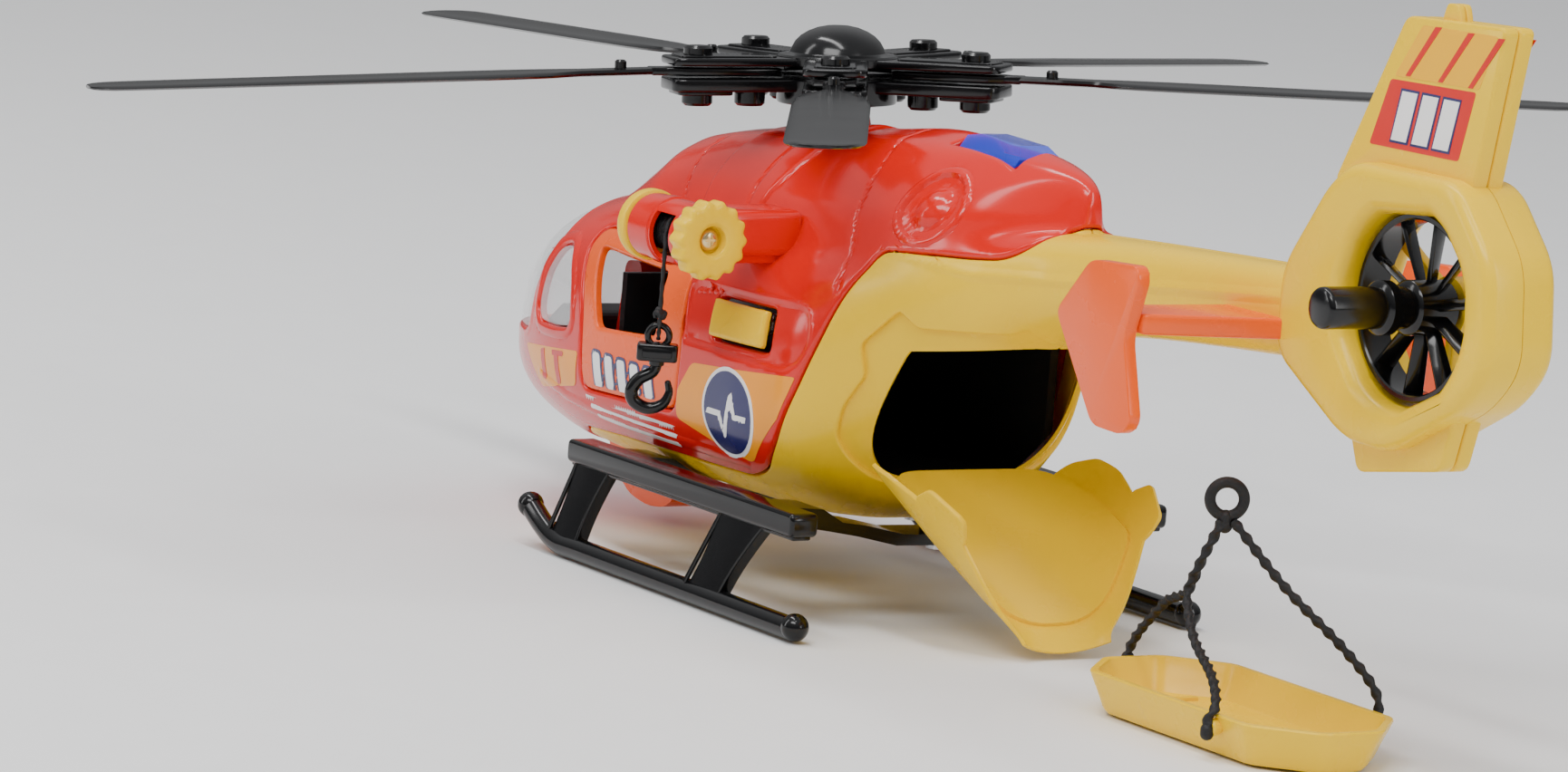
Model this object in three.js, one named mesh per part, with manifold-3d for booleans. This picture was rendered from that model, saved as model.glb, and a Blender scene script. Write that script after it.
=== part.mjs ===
// Toy rescue helicopter with five rotor blades, a shrouded tail fan, a rope winch, an opening tailgate,
// two cabin doors, a push-button and a loose stretcher with its lifting sling.
// Millimetres, +X to the nose, +Y to port, +Z up, and the floor under the skids at z = 0.
import * as THREE from "three";
import { mergeVertices } from "three/addons/utils/BufferGeometryUtils.js";
import Module from "manifold-3d";

const wasm = await Module();
wasm.setup();

// ---- driving dimensions -------------------------------------------------------------------------
const WALL = 2; // moulded shell thickness
const GAP = 0.35; // clearance between neighbouring pieces
const NOSE_X = 104; // foremost point of the nose
const HALF_WIDTH = 38.5; // half the cabin's width
const WIDEST_X = 10; // where the cabin is widest
const NOSE_POWER = 2.2; // fullness of the nose seen from above
const UPPER_POWER = 2.9; // fullness of a section above its widest line
const LOWER_POWER = 2.5; // and below it

const ROTOR_X = -4; // where the rotor axis crosses the height below
const MAST = { height: 105, port: 2, forward: 2.5 }; // degrees that the mast leans
const ROTOR_RADIUS = 167;
const ROTOR_PHASE = 147.3; // degrees from the nose to the first blade, towards port
const BLADES = 5;
const BLADE_Z = 111; // middle of the blades
const BLADE_CHORD = 16.5;
const BLADE_THICK = 1.8;
const HUB_REACH = 39; // radius of the hub's arm ends

const FAN = { x: -223, z: 91.5, radius: 18.5, hub: 5.4, blades: 10 };
const SHROUD_HALF = 8.5; // half the thickness of the tail fan's shroud

const SKID = { railY: 44.6, railZ: 22.9, tubeY: 50, tubeRadius: 2.6, front: 20.5, rear: -75.5 };
const STRUTS = [
  { top: [3, 16.5], foot: [8.5, 20] },
  { top: [-63.5, -46.5], foot: [-52, -40] },
]; // x range of each strut under the rail and on the tube

const WINCH = { y: 52.5, z: 78.5, x0: -37.5, x1: -18.5, radius: 7.1, bore: 6.1 };
const CORD = { x: -32, radius: 0.45, top: 77.5 };

const HINGE = { x: -66, z: 29 }; // tailgate hinge
const GATE_OPEN = 78; // degrees that the tailgate hangs open at rest

const STRETCHER = { x: -186, y: 10, length: 76, width: 36, height: 8.8, wall: 1.6, chamfer: 11 };

// ---- materials ----------------------------------------------------------------------------------
const finish = (color, roughness, metalness = 0, opacity = 1) =>
  new THREE.MeshStandardMaterial({
    color, roughness, metalness, opacity, transparent: opacity < 1,
  });
const RED = finish(0xd9230f, 0.25);
const YELLOW = finish(0xfdd017, 0.3);
const ORANGE = finish(0xf5691d, 0.35);
const BLACK = finish(0x16161a, 0.3);
const CLEAR = finish(0xf4f6f8, 0.08, 0, 0.35);
const BLUE = finish(0x2f55d8, 0.1, 0, 0.7);
const STEEL = finish(0xb9bcc0, 0.3, 1);
const BRASS = finish(0xc9a24a, 0.3, 1);
const BOARD = finish(0x1d6b3a, 0.6);
const LED = finish(0xf2f6ff, 0.2);

const helicopter = new THREE.Group();

// ---- geometry helpers ---------------------------------------------------------------------------
function solid(geometry) {
  const bare = new THREE.BufferGeometry();
  bare.setAttribute("position", geometry.getAttribute("position"));
  bare.setIndex(geometry.index);
  const merged = mergeVertices(bare, 1e-4);
  const vertProperties = merged.getAttribute("position").array;
  const triVerts = new Uint32Array(merged.index.array);
  const make = () => new wasm.Manifold(new wasm.Mesh({ numProp: 3, vertProperties, triVerts }));
  const first = make();
  if (first.volume() > 0) return first;
  for (let i = 0; i < triVerts.length; i += 3) {
    [triVerts[i + 1], triVerts[i + 2]] = [triVerts[i + 2], triVerts[i + 1]];
  }
  return make();
}

function geometryOf(manifold) {
  const mesh = manifold.getMesh();
  const geometry = new THREE.BufferGeometry();
  geometry.setAttribute("position", new THREE.BufferAttribute(mesh.vertProperties, 3));
  geometry.setIndex(new THREE.BufferAttribute(mesh.triVerts, 1));
  return geometry;
}

function add(name, piece, material, parent = helicopter) {
  const geometry = piece.isBufferGeometry ? piece : geometryOf(piece);
  const mesh = new THREE.Mesh(geometry, material);
  mesh.name = name;
  parent.add(mesh);
  return mesh;
}

const union = (...pieces) => pieces.reduce((a, b) => a.add(b));
const cut = (piece, ...tools) => tools.reduce((a, b) => a.subtract(b), piece);

function mirrored(piece) {
  const geometry = geometryOf(piece).scale(1, -1, 1);
  return solid(geometry);
}

function moved(piece, x, y, z) {
  return solid(geometryOf(piece).translate(x, y, z));
}

function box(x0, x1, y0, y1, z0, z1) {
  const geometry = new THREE.BoxGeometry(x1 - x0, y1 - y0, z1 - z0);
  return solid(geometry.translate((x0 + x1) / 2, (y0 + y1) / 2, (z0 + z1) / 2));
}

// A closed outline through points given as [a, b], its corners rounded by the given radius.
function outline(points, radius = 0) {
  const shape = new THREE.Shape();
  const corners = points.map(([a, b]) => new THREE.Vector2(a, b));
  corners.forEach((corner, i) => {
    const before = corners[(i + corners.length - 1) % corners.length];
    const after = corners[(i + 1) % corners.length];
    const reach = Math.min(radius, corner.distanceTo(before) / 2, corner.distanceTo(after) / 2);
    const start = corner.clone().add(before.clone().sub(corner).setLength(reach));
    const end = corner.clone().add(after.clone().sub(corner).setLength(reach));
    if (i === 0) shape.moveTo(start.x, start.y);
    else shape.lineTo(start.x, start.y);
    if (radius > 0) shape.quadraticCurveTo(corner.x, corner.y, end.x, end.y);
  });
  shape.closePath();
  return shape;
}

const extrude = (shape, depth, curveSegments = 3) =>
  new THREE.ExtrudeGeometry(shape, { depth, bevelEnabled: false, curveSegments });

// A side-view outline (x, z) made solid from y0 to y1.
const sideSolid = (shape, y0, y1) =>
  solid(extrude(shape, y1 - y0).rotateX(Math.PI / 2).translate(0, y1, 0));

// A plan outline (x, y) made solid from z0 to z1.
const planSolid = (shape, z0, z1) => solid(extrude(shape, z1 - z0).translate(0, 0, z0));

// A front-view outline (y, z) made solid from x0 to x1.
function frontSolid(shape, x0, x1) {
  const axes = new THREE.Matrix4().makeBasis(
    new THREE.Vector3(0, 1, 0),
    new THREE.Vector3(0, 0, 1),
    new THREE.Vector3(1, 0, 0),
  );
  return solid(extrude(shape, x1 - x0).applyMatrix4(axes).translate(x0, 0, 0));
}

// A round rod from point a to point b.
function rod(a, b, radius, sides = 12, endRadius = radius) {
  const from = new THREE.Vector3(...a);
  const to = new THREE.Vector3(...b);
  const length = from.distanceTo(to);
  const turn = new THREE.Quaternion().setFromUnitVectors(
    new THREE.Vector3(0, 1, 0),
    to.clone().sub(from).normalize(),
  );
  const geometry = new THREE.CylinderGeometry(endRadius, radius, length, sides);
  geometry.rotateY(Math.PI / sides).applyQuaternion(turn);
  const middle = from.add(to).multiplyScalar(0.5);
  return solid(geometry.translate(middle.x, middle.y, middle.z));
}

// A turned piece: its profile is a list of [radius, height] that starts and ends on the axis.
function turned(profile, sides, axis, place) {
  const geometry = new THREE.LatheGeometry(profile.map(([r, h]) => new THREE.Vector2(r, h)), sides);
  const turn = new THREE.Quaternion().setFromUnitVectors(new THREE.Vector3(0, 1, 0), axis);
  return solid(geometry.applyQuaternion(turn).translate(...place));
}

const X = new THREE.Vector3(1, 0, 0);
const Y = new THREE.Vector3(0, 1, 0);
const Z = new THREE.Vector3(0, 0, 1);

function ball(centre, radius, sides = 10) {
  return solid(new THREE.SphereGeometry(radius, sides, 6).translate(...centre));
}

function tube(points, radius, sides, steps) {
  const path = new THREE.CatmullRomCurve3(points.map((p) => new THREE.Vector3(...p)));
  const section = new THREE.Shape();
  for (let k = 0; k < sides; k += 1) {
    const angle = (2 * Math.PI * (k + 0.5)) / sides;
    const [a, b] = [radius * Math.cos(angle), radius * Math.sin(angle)];
    if (k === 0) section.moveTo(a, b);
    else section.lineTo(a, b);
  }
  section.closePath();
  return new THREE.ExtrudeGeometry(section, { steps, extrudePath: path, bevelEnabled: false });
}

// Smooth interpolation through [x, value] keys that never overshoots them.
function along(keys, x) {
  const last = keys.length - 1;
  if (x <= keys[0][0]) return keys[0][1];
  if (x >= keys[last][0]) return keys[last][1];
  const i = keys.findLastIndex(([key]) => key <= x);
  const rise = (a, b) => (keys[b][1] - keys[a][1]) / (keys[b][0] - keys[a][0]);
  const slope = (j) => {
    if (j === 0) return rise(0, 1);
    if (j === last) return rise(last - 1, last);
    const [left, right] = [rise(j - 1, j), rise(j, j + 1)];
    return left * right <= 0 ? 0 : (2 * left * right) / (left + right);
  };
  const span = keys[i + 1][0] - keys[i][0];
  const t = (x - keys[i][0]) / span;
  const [a, b] = [keys[i][1], keys[i + 1][1]];
  const [ma, mb] = [slope(i) * span, slope(i + 1) * span];
  const [t2, t3] = [t * t, t * t * t];
  return a * (2 * t3 - 3 * t2 + 1) + ma * (t3 - 2 * t2 + t) + b * (3 * t2 - 2 * t3) + mb * (t3 - t2);
}

// A closed skin over rings of equal length, with flat ends.
function loft(rings) {
  const count = rings[0].length;
  const positions = rings.flat(2);
  const index = [];
  for (let r = 0; r + 1 < rings.length; r += 1) {
    for (let k = 0; k < count; k += 1) {
      const a = r * count + k;
      const b = r * count + ((k + 1) % count);
      index.push(a, b, b + count, a, b + count, a + count);
    }
  }
  const last = (rings.length - 1) * count;
  for (let k = 1; k + 1 < count; k += 1) {
    index.push(0, k + 1, k, last, last + k, last + k + 1);
  }
  const geometry = new THREE.BufferGeometry();
  geometry.setAttribute("position", new THREE.Float32BufferAttribute(positions, 3));
  geometry.setIndex(index);
  return solid(geometry);
}

// ---- body form: cabin and tail boom, with the engine cowling on top -----------------------------
const TOP_LINE = [
  [-190, 94], [-132, 91], [-108, 89.5], [-90, 88.5], [-75, 87], [-60, 84.5], [-30, 82], [0, 81],
  [20, 80], [40, 78.5], [60, 75], [74, 70.5], [85, 64], [92, 57.5], [99, 47.5], [104, 39],
];
const KEEL_LINE = [
  [-190, 76], [-132, 71.3], [-110, 67.5], [-99, 63], [-90, 52], [-75, 36.5], [-62, 27.5],
  [-48, 19], [-30, 17], [30, 16.5], [52, 17], [74, 19.5], [92, 25], [99, 29.5], [104, 35],
];
const WAIST_LINE = [
  [-190, 85], [-132, 81], [-101, 77], [-75, 62], [-60, 51], [-30, 44], [60, 42], [104, 37],
];
const TAPER = [
  [-190, 7.5], [-132, 9.5], [-110, 12], [-99, 15], [-90, 18.5], [-75, 25], [-60, 32], [-48, 36],
  [-30, 38.2], [WIDEST_X, HALF_WIDTH],
];
const STATIONS = [
  103.6, 101, 95, 86, 74, 60, 42, 10, -20, -36, -48, -60, -70, -80, -90, -99, -110, -132, -190,
];
const RING_POINTS = 20;
const INNER_POINTS = 14; // the inside of a shell needs fewer facets

function halfWidth(x) {
  if (x <= WIDEST_X) return along(TAPER, x);
  const reach = (x - WIDEST_X) / (NOSE_X - WIDEST_X);
  return HALF_WIDTH * (1 - reach ** NOSE_POWER) ** (1 / NOSE_POWER);
}

function bodyRing(x, inset) {
  const width = Math.max(halfWidth(x) - inset, 0.4);
  const waist = along(WAIST_LINE, x);
  const up = Math.max(along(TOP_LINE, x) - waist - inset, 0.4);
  const down = Math.max(waist - along(KEEL_LINE, x) - inset, 0.4);
  const points = inset > 0 ? INNER_POINTS : RING_POINTS;
  return Array.from({ length: points }, (_, k) => {
    const angle = (2 * Math.PI * k) / points;
    const [c, s] = [Math.cos(angle), Math.sin(angle)];
    const power = s > 0 ? UPPER_POWER : LOWER_POWER;
    const y = width * Math.sign(c) * Math.abs(c) ** (2 / power);
    const z = waist + (s > 0 ? up : down) * Math.sign(s) * Math.abs(s) ** (2 / power);
    return [x, y, z];
  });
}

function body(inset) {
  const ends = STATIONS.filter((x) => x <= 103.7 - inset * 1.3);
  return loft(ends.map((x) => bodyRing(x, inset)));
}

// Cowling stations: x, ridge height, fold half width and height, base half width.
const COWL = [
  [60, 77, 8, 74, 12], [52, 83, 12, 79, 18], [42, 89, 14, 84.5, 21], [34, 92.5, 15.5, 88, 22.5],
  [10, 96.5, 17, 90.5, 25], [-30, 101.5, 18, 92, 26.5], [-58, 104.5, 17.5, 92.5, 25],
  [-78, 104.5, 13.5, 94.5, 21], [-90, 103.3, 9, 97, 15], [-101, 101, 3.4, 99.3, 7.5],
  [-106.5, 98, 1.6, 97, 3],
];
const COWL_BASE = 70;
const COWL_REAR_BASE = 91.6; // the cowling's tail stays above the boom's back

function cowlRing([x, ridge, foldY, foldZ, baseY], inset) {
  const base = x < -99 ? COWL_REAR_BASE : COWL_BASE;
  const [top, fold] = [ridge - inset, foldZ - inset];
  const [wide, foot] = [Math.max(foldY - inset * 0.9, 0.5), Math.max(baseY - inset, 0.8)];
  const half = [
    [wide * 0.55, top - (top - fold) * 0.25], [wide, fold],
    [wide + (foot - wide) * 0.62, fold - (fold - base) * 0.26],
    [foot, fold - (fold - base) * 0.58], [foot, base],
  ];
  const port = half.map(([y, z]) => [x, y, z]);
  const starboard = half.toReversed().map(([y, z]) => [x, -y, z]);
  return [[x, 0, top], ...port, ...starboard];
}

function cowl(inset) {
  const stations = COWL.filter(([x]) => x <= 60 - 3 * inset && x >= -106.5 + 4 * inset);
  return loft(stations.map((station) => cowlRing(station, inset)));
}

const bodyOut = body(0);
const bodyIn = body(WALL);
const cowlOut = cowl(0);
const cowlIn = cowl(WALL);
const hollow = union(bodyIn, cowlIn);
const skin = cut(union(bodyOut, cowlOut), hollow);

// ---- regions of the body, as side-view outlines -------------------------------------------------
const FAR = 130;
const redOutline = [
  [58, 8], [55, 20.5], [44, 24], [24, 25.2], [-33, 26], [-40, 28.5], [-46, 36], [-52, 48],
  [-57, 60], [-61, 72], [-64.5, 79.5], [-70, 80.6], [-88, 81.6], [-97, 82.6], [-102, 85.5],
  [-105, 89.8], [-109, 91.3], [-125, 91.3], [-125, 125], [125, 125], [125, 8],
];
const gateOutline = [
  [-61.5, 10], [-62.6, 30.5], [-77, 60], [-98.5, 62.9], [-112, 60], [-112, 10],
];
const doorOutline = [
  [34.5, 34.2], [36.2, 52], [42.5, 66], [40, 70.5], [18, 71.5], [-7, 68],
  [-9.5, 50], [-8.5, 36],
];
const doorWindow = [[28.5, 49], [36.5, 66.5], [3, 65.5], [2, 51]];
const quarterWindow = [
  [41.5, 47], [44, 56], [51, 65], [58.5, 63.5], [62.5, 57], [63.5, 48.5],
  [61, 45.5], [50, 45.8],
];
const windscreenOutline = [[70.5, 42], [69, 50], [66, 57], [60, 66], [60, 90], [115, 90], [115, 40.5]];
const buttonOutline = [[-20.5, 54], [-20, 63.5], [-42, 63.7], [-42.5, 54.2]];

// The same outline drawn in from its own box by a gap on every side.
function drawnIn(points, gap) {
  const xs = points.map(([a]) => a);
  const zs = points.map(([, b]) => b);
  const middle = [(Math.min(...xs) + Math.max(...xs)) / 2, (Math.min(...zs) + Math.max(...zs)) / 2];
  const size = [Math.max(...xs) - Math.min(...xs), Math.max(...zs) - Math.min(...zs)];
  return points.map((point) =>
    point.map((value, k) => middle[k] + ((value - middle[k]) * (size[k] - 2 * gap)) / size[k]),
  );
}

const shifted = (points, dx, dz) => points.map(([x, z]) => [x + dx, z + dz]);
const through = (points, radius = 0) => sideSolid(outline(points, radius), -FAR, FAR);
const redRegion = through(redOutline, 3);
const redClear = union(
  through(shifted(redOutline, -GAP, 0), 3),
  through(shifted(redOutline, 0, -GAP), 3),
  through(shifted(redOutline, -GAP * 0.7, -GAP * 0.7), 3),
);

// ---- red upper shell ----------------------------------------------------------------------------
const LENS = { front: -63, rear: -86, half: 6.5, floor: 94.5 };
const lensPocket = box(LENS.rear - 1.2, LENS.front + 0.5, -LENS.half - 0.5, LENS.half + 0.5, LENS.floor, 115);
const lensRim = box(LENS.rear - 2.4, LENS.front + 2, -LENS.half - 2, LENS.half + 2, LENS.floor - 1.6, 115);
function leaned(piece) {
  const geometry = geometryOf(piece).translate(-ROTOR_X, 0, -MAST.height);
  geometry.rotateY(THREE.MathUtils.degToRad(MAST.forward));
  geometry.rotateX(THREE.MathUtils.degToRad(-MAST.port));
  return solid(geometry.translate(ROTOR_X, 0, MAST.height));
}
const mastHole = leaned(rod([ROTOR_X, 0, 60], [ROTOR_X, 0, 130], 4.6, 16));
const lensTray = cut(lensRim, lensPocket).intersect(cowlOut);

function redShell() {
  const openings = [
    through(doorOutline, 4), through(quarterWindow, 3), through(windscreenOutline, 5),
    sideSolid(outline(buttonOutline, 1.5), 20, FAR), mastHole, lensPocket,
  ];
  const shell = union(skin.intersect(redRegion), lensTray.intersect(redRegion));
  const ledHole = rod([-75, 0, 80], [-75, 0, 100], 1.9, 12);
  return cut(shell, ...openings, ledHole);
}

add("red_upper_shell", redShell(), RED);

// ---- windows ------------------------------------------------------------------------------------
const glassSkin = cut(bodyOut, body(1.4));
add("windscreen", glassSkin.intersect(through(drawnIn(windscreenOutline, GAP), 5)), CLEAR);
const quarterGlass = glassSkin.intersect(sideSolid(outline(drawnIn(quarterWindow, GAP), 3), 0, FAR));
add("quarter_window_port", quarterGlass, CLEAR);
add("quarter_window_starboard", mirrored(quarterGlass), CLEAR);

// ---- yellow hull halves: belly, tail boom, fan shroud and fins ----------------------------------
const shroudOutline = [
  [-184, 77], [-184, 94], [-197, 112.5], [-204, 117.5], [-237, 117.5], [-250, 103.5], [-252, 84],
  [-245, 75.5], [-222, 63], [-208, 63.5],
];
const finOutline = [[-193, 112], [-211.5, 146.5], [-242.5, 147.5], [-236, 112]];
const ventralOutline = [[-203, 70], [-208.5, 57], [-234.5, 61.5], [-238, 74]];
const FIN_HALF = 3.6;

function tailSolid() {
  const rim = sideSolid(outline(shroudOutline, 5), -SHROUD_HALF, SHROUD_HALF);
  const fin = sideSolid(outline(finOutline, 2), -FIN_HALF, FIN_HALF);
  const ventral = sideSolid(outline(ventralOutline, 2), -FIN_HALF, FIN_HALF);
  const nub = box(-226, -220, -1.6, 1.6, 146, 150);
  const bore = rod([FAN.x, -20, FAN.z], [FAN.x, 20, FAN.z], FAN.radius + 1, 32);
  const spiderHub = rod([FAN.x, -7.9, FAN.z], [FAN.x, -3.6, FAN.z], 6, 16);
  const arms = [30, 150, 270].map((degrees) => {
    const turn = THREE.MathUtils.degToRad(degrees);
    const reach = FAN.radius + 2;
    const arm = new THREE.BoxGeometry(reach, 2.4, 2.6).translate(reach / 2, 0, 0);
    arm.rotateY(-turn).translate(FAN.x, -6, FAN.z);
    return solid(arm);
  });
  const axleHole = rod([FAN.x, -12, FAN.z], [FAN.x, 0, FAN.z], 1.8, 12);
  return cut(union(cut(union(rim, fin, ventral, nub), bore), spiderHub, ...arms), axleHole);
}

const BAR = { front: -167, rear: -187, tip: -180, reach: 36.5, z0: 79.6, z1: 83.8 }; // stabilizer
const SCREWS = [[5, 0], [-58, 0]]; // skid screws, one up through each cross member
const BELLY = { x0: -44, x1: -4, y0: -8, y1: 8 }; // battery door in the belly
const bellyHole = box(BELLY.x0 - GAP, BELLY.x1 + GAP, BELLY.y0 - GAP, BELLY.y1 + GAP, 10, 22);

// Shallow rebate round the loading opening: the tailgate's lip and its two grips close into it.
const REBATE = [
  [-61.6, 29], [-60.8, 39], [-63.6, 46.4], [-68.2, 53.4], [-66.8, 60.2], [-74.6, 68.4], [-79.4, 65.2],
  [-98.6, 66.6], [-103, 68.6], [-103, 40],
];
function yellowHull() {
  const gateCut = through(gateOutline);
  const plate = through([[-76.5, 60.2], [-98.5, 63.1], [-104, 66], [-104, 68], [-98.5, 65.2], [-76.5, 62.4]]);
  const closing = plate.intersect(bodyOut);
  const shell = cut(cut(bodyOut, bodyIn), redClear, gateCut);
  const hull = union(shell, cut(closing, redClear), tailSolid());
  const barSlot = box(BAR.rear - GAP, BAR.front + GAP, -12, 12, BAR.z0 - GAP, BAR.z1 + GAP);
  const rebate = cut(body(-1), body(1.3)).intersect(through(REBATE));
  const screwHoles = SCREWS.map(([x, y]) => rod([x, y, 8], [x, y, 32], 1.3, 8));
  const cowlBase = cut(cowlOut, box(-200, 0, -50, 50, 60, 91.6));
  return cut(hull, cowlBase, bellyHole, barSlot, rebate, ...screwHoles);
}

const hull = yellowHull();
add("yellow_hull_port", hull.intersect(box(-300, 200, 0.1, 80, -10, 200)), YELLOW);
add("yellow_hull_starboard", hull.intersect(box(-300, 200, -80, -0.1, -10, 200)), YELLOW);

const ribs = body(-GAP); // the body grown by one gap, to keep what bolts on clear of it
const cowlClear = cowl(-GAP);

// ---- cabin doors, hinged on their front edges ---------------------------------------------------
function door() {
  const region = sideSolid(outline(drawnIn(doorOutline, GAP), 4), 0, FAR);
  return cut(cut(bodyOut, body(1.8)).intersect(region), through(doorWindow, 3));
}
const portDoor = door();
add("port_door", portDoor, ORANGE);
add("starboard_door", mirrored(portDoor), ORANGE);

// ---- push-button with its spring ----------------------------------------------------------------
const BUTTON = { x: -31.2, z: 58.8, back: 31.6 };
function pushButton() {
  const cap = cut(body(-1.8), box(-60, 0, -50, BUTTON.back + 1.6, 40, 80));
  const region = sideSolid(outline(drawnIn(buttonOutline, GAP), 1.5), 20, FAR);
  const stem = rod([BUTTON.x, BUTTON.back, BUTTON.z], [BUTTON.x, BUTTON.back + 3, BUTTON.z], 3.4, 12);
  return union(cap.intersect(region), stem);
}
add("push_button", pushButton(), YELLOW);

function buttonSpring() {
  const [turns, radius, start, end] = [4, 2.3, 26.2, BUTTON.back - GAP - 0.3];
  const points = Array.from({ length: turns * 8 + 1 }, (_, k) => {
    const angle = (k * Math.PI) / 4;
    const y = start + ((end - start) * k) / (turns * 8);
    return [BUTTON.x + radius * Math.cos(angle), y, BUTTON.z + radius * Math.sin(angle)];
  });
  return tube(points, 0.3, 5, turns * 9);
}
add("button_spring", buttonSpring(), STEEL);

// ---- cabin tub, seats and panel -----------------------------------------------------------------
const inside = body(WALL + 0.9);
function cabinTub() {
  const floor = box(-66, 72, -30, 30, 28, 30);
  const partition = box(30, 32, -30, 30, 28, 61);
  const walls = [box(-62, -1, 23, 25, 28, 61), box(-62, -1, -25, -23, 28, 61)];
  const roof = box(-62, -1, -25, 25, 59, 61);
  const bulkhead = box(-3, -1, -25, 25, 28, 61);
  const console = box(26, 31, -12, 12, 36, 52);
  return union(floor, partition, ...walls, roof, bulkhead, console).intersect(inside);
}
add("cabin_tub", cabinTub(), BLACK);

function seat() {
  const profile = [[39, 30.4], [60, 30.4], [61, 37], [48, 38.5], [44.5, 62], [38, 62.5], [36.5, 56]];
  const shape = outline(profile, 2);
  return sideSolid(shape, 5, 22).intersect(inside);
}
add("front_seat_port", seat(), RED);
add("front_seat_starboard", mirrored(seat()), RED);
const panelShape = outline([[75, 27], [74.5, 45], [80, 47], [88, 41], [88, 27]], 1.5);
add("instrument_panel", sideSolid(panelShape, -17, 17).intersect(inside), BLACK);

// ---- battery box in the belly, with three button cells ------------------------------------------
const CELL = { radius: 5.7, height: 5.2, z: 20.4 };
const cellX = [0, 1, 2].map((k) => (BELLY.x0 + BELLY.x1) / 2 + (k - 1) * 12.2);
function batteryBox() {
  const [x0, x1] = [BELLY.x0 + 0.5, BELLY.x1 - 0.5];
  const shell = box(x0, x1, -7.6, 7.6, 19.6, 27.4);
  return cut(shell, box(x0 + 1, x1 - 1, -6.4, 6.4, 10, 26.4));
}
add("battery_box", batteryBox(), BLACK);
cellX.forEach((x, k) => {
  add(`button_cell_${k + 1}`, rod([x, 0, CELL.z], [x, 0, CELL.z + CELL.height], CELL.radius, 20), STEEL);
});
const coverBlank = box(BELLY.x0, BELLY.x1, BELLY.y0, BELLY.y1, 16, 18.9).intersect(bodyOut);
const coverScrewX = BELLY.x0 + 4;
const coverHole = union(
  rod([coverScrewX, -5.2, 10], [coverScrewX, -5.2, 30], 1.2, 8),
  rod([coverScrewX, -5.2, 10], [coverScrewX, -5.2, 17.9], 2.2, 12),
);
add("battery_cover", cut(coverBlank, coverHole), YELLOW);
add("battery_screw", rod([coverScrewX, -5.2, 17.0], [coverScrewX, -5.2, 17.6], 1.8, 12), STEEL);

// ---- light, sound and mast parts inside the cowling ---------------------------------------------
add("circuit_board", box(-84, -38, -11, 11, 86, 87.2), BOARD);
const ledProfile = [[0, 0], [1.5, 0], [1.5, 6.4], [1, 7.4], [0, 7.8]];
add("beacon_led", turned(ledProfile, 12, Z, [-75, 0, 87.6]), LED);
function beaconLens() {
  const [front, rear] = [LENS.front, LENS.rear];
  const side = [
    [front, 94.9], [front, 104.4], [front - 5, 105.3], [rear + 3, 104.6], [rear, 102], [rear, 94.9],
  ];
  const half = LENS.half;
  const face = [[-half, 94.9], [-half, 100.5], [-3, 105.3], [3, 105.3], [half, 100.5], [half, 94.9]];
  const across = frontSolid(outline(face), rear - 1, front + 1);
  const block = sideSolid(outline(side), -half, half).intersect(across);
  return cut(block, rod([-75, 0, 90], [-75, 0, 97], 2, 12));
}
add("beacon_lens", beaconLens(), BLUE);
add("speaker", rod([-25, 0, 83], [-25, 0, 87.5], 12, 16), BLACK);
const bushProfile = [
  [2.75, 84], [7.5, 84], [7.5, 85.2], [4.25, 85.2], [4.25, 96.5], [2.75, 96.5],
  [2.75, 84],
];
add("mast_bush", leaned(turned(bushProfile, 16, Z, [ROTOR_X, 0, 0])), BLACK);
const collarProfile = [[3.2, 88], [8.4, 88], [7.9, 98], [7, 102.6], [6.4, 103.6], [3.2, 103.6], [3.2, 88]];
const collar = leaned(turned(collarProfile, 24, Z, [ROTOR_X, 0, 0]));
add("mast_collar", cut(collar, cowlClear, mastHole), RED);

// ---- main rotor ---------------------------------------------------------------------------------
const rotor = new THREE.Group();
rotor.rotation.set(...[-MAST.port, MAST.forward, ROTOR_PHASE].map(THREE.MathUtils.degToRad));
rotor.position.set(0, 0, -MAST.height).applyEuler(rotor.rotation).add({ x: ROTOR_X, y: 0, z: MAST.height });
helicopter.add(rotor);
const BLADE_ROOT = 63; // where the narrow root bar widens to the blade
const DROOP = [1.2, 0, 2.4, -0.9, 1.7]; // degrees that each flexible blade hangs below the hub's plane

const spoke = (k, piece) => {
  const geometry = geometryOf(piece).rotateZ((2 * Math.PI * k) / BLADES);
  return solid(geometry);
};

function hubPlate(z0, z1, core, studs) {
  const arm = planSolid(outline([[5, -7], [HUB_REACH, -7], [HUB_REACH, 7], [5, 7]], 3), z0, z1);
  const spokes = Array.from({ length: BLADES }, (_, k) => spoke(k, union(arm, ...studs)));
  return union(core, ...spokes);
}

const lowerStuds = [20, 32].map((r) => rod([r, 0, 103.4], [r, 0, 108], 3.4, 10));
const drumProfile = [[0, 103.9], [12.6, 103.9], [13.3, 104.6], [13.3, 109.6], [0, 109.6]];
const lowerCore = turned(drumProfile, 24, Z, [0, 0, 0]);
const shaftBore = rod([0, 0, 100], [0, 0, 108.4], 2.75, 16);
add("hub_lower", cut(hubPlate(106.8, 109.6, lowerCore, lowerStuds), shaftBore), BLACK, rotor);

const upperStuds = [rod([32, 0, 113], [32, 0, 116.6], 3.3, 10, 2.8)];
const domeProfile = [
  [0, 112.4], [13.4, 112.4], [13.4, 114.6], [10.3, 115], [9.4, 117.4], [6.8, 119.7],
  [3.4, 120.9], [0, 121.2],
];
add("hub_upper", hubPlate(112.4, 114.6, turned(domeProfile, 24, Z, [0, 0, 0]), upperStuds), BLACK, rotor);
add("mast_shaft", rod([0, 0, 74], [0, 0, 108], 2.4, 12), STEEL, rotor);

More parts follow.
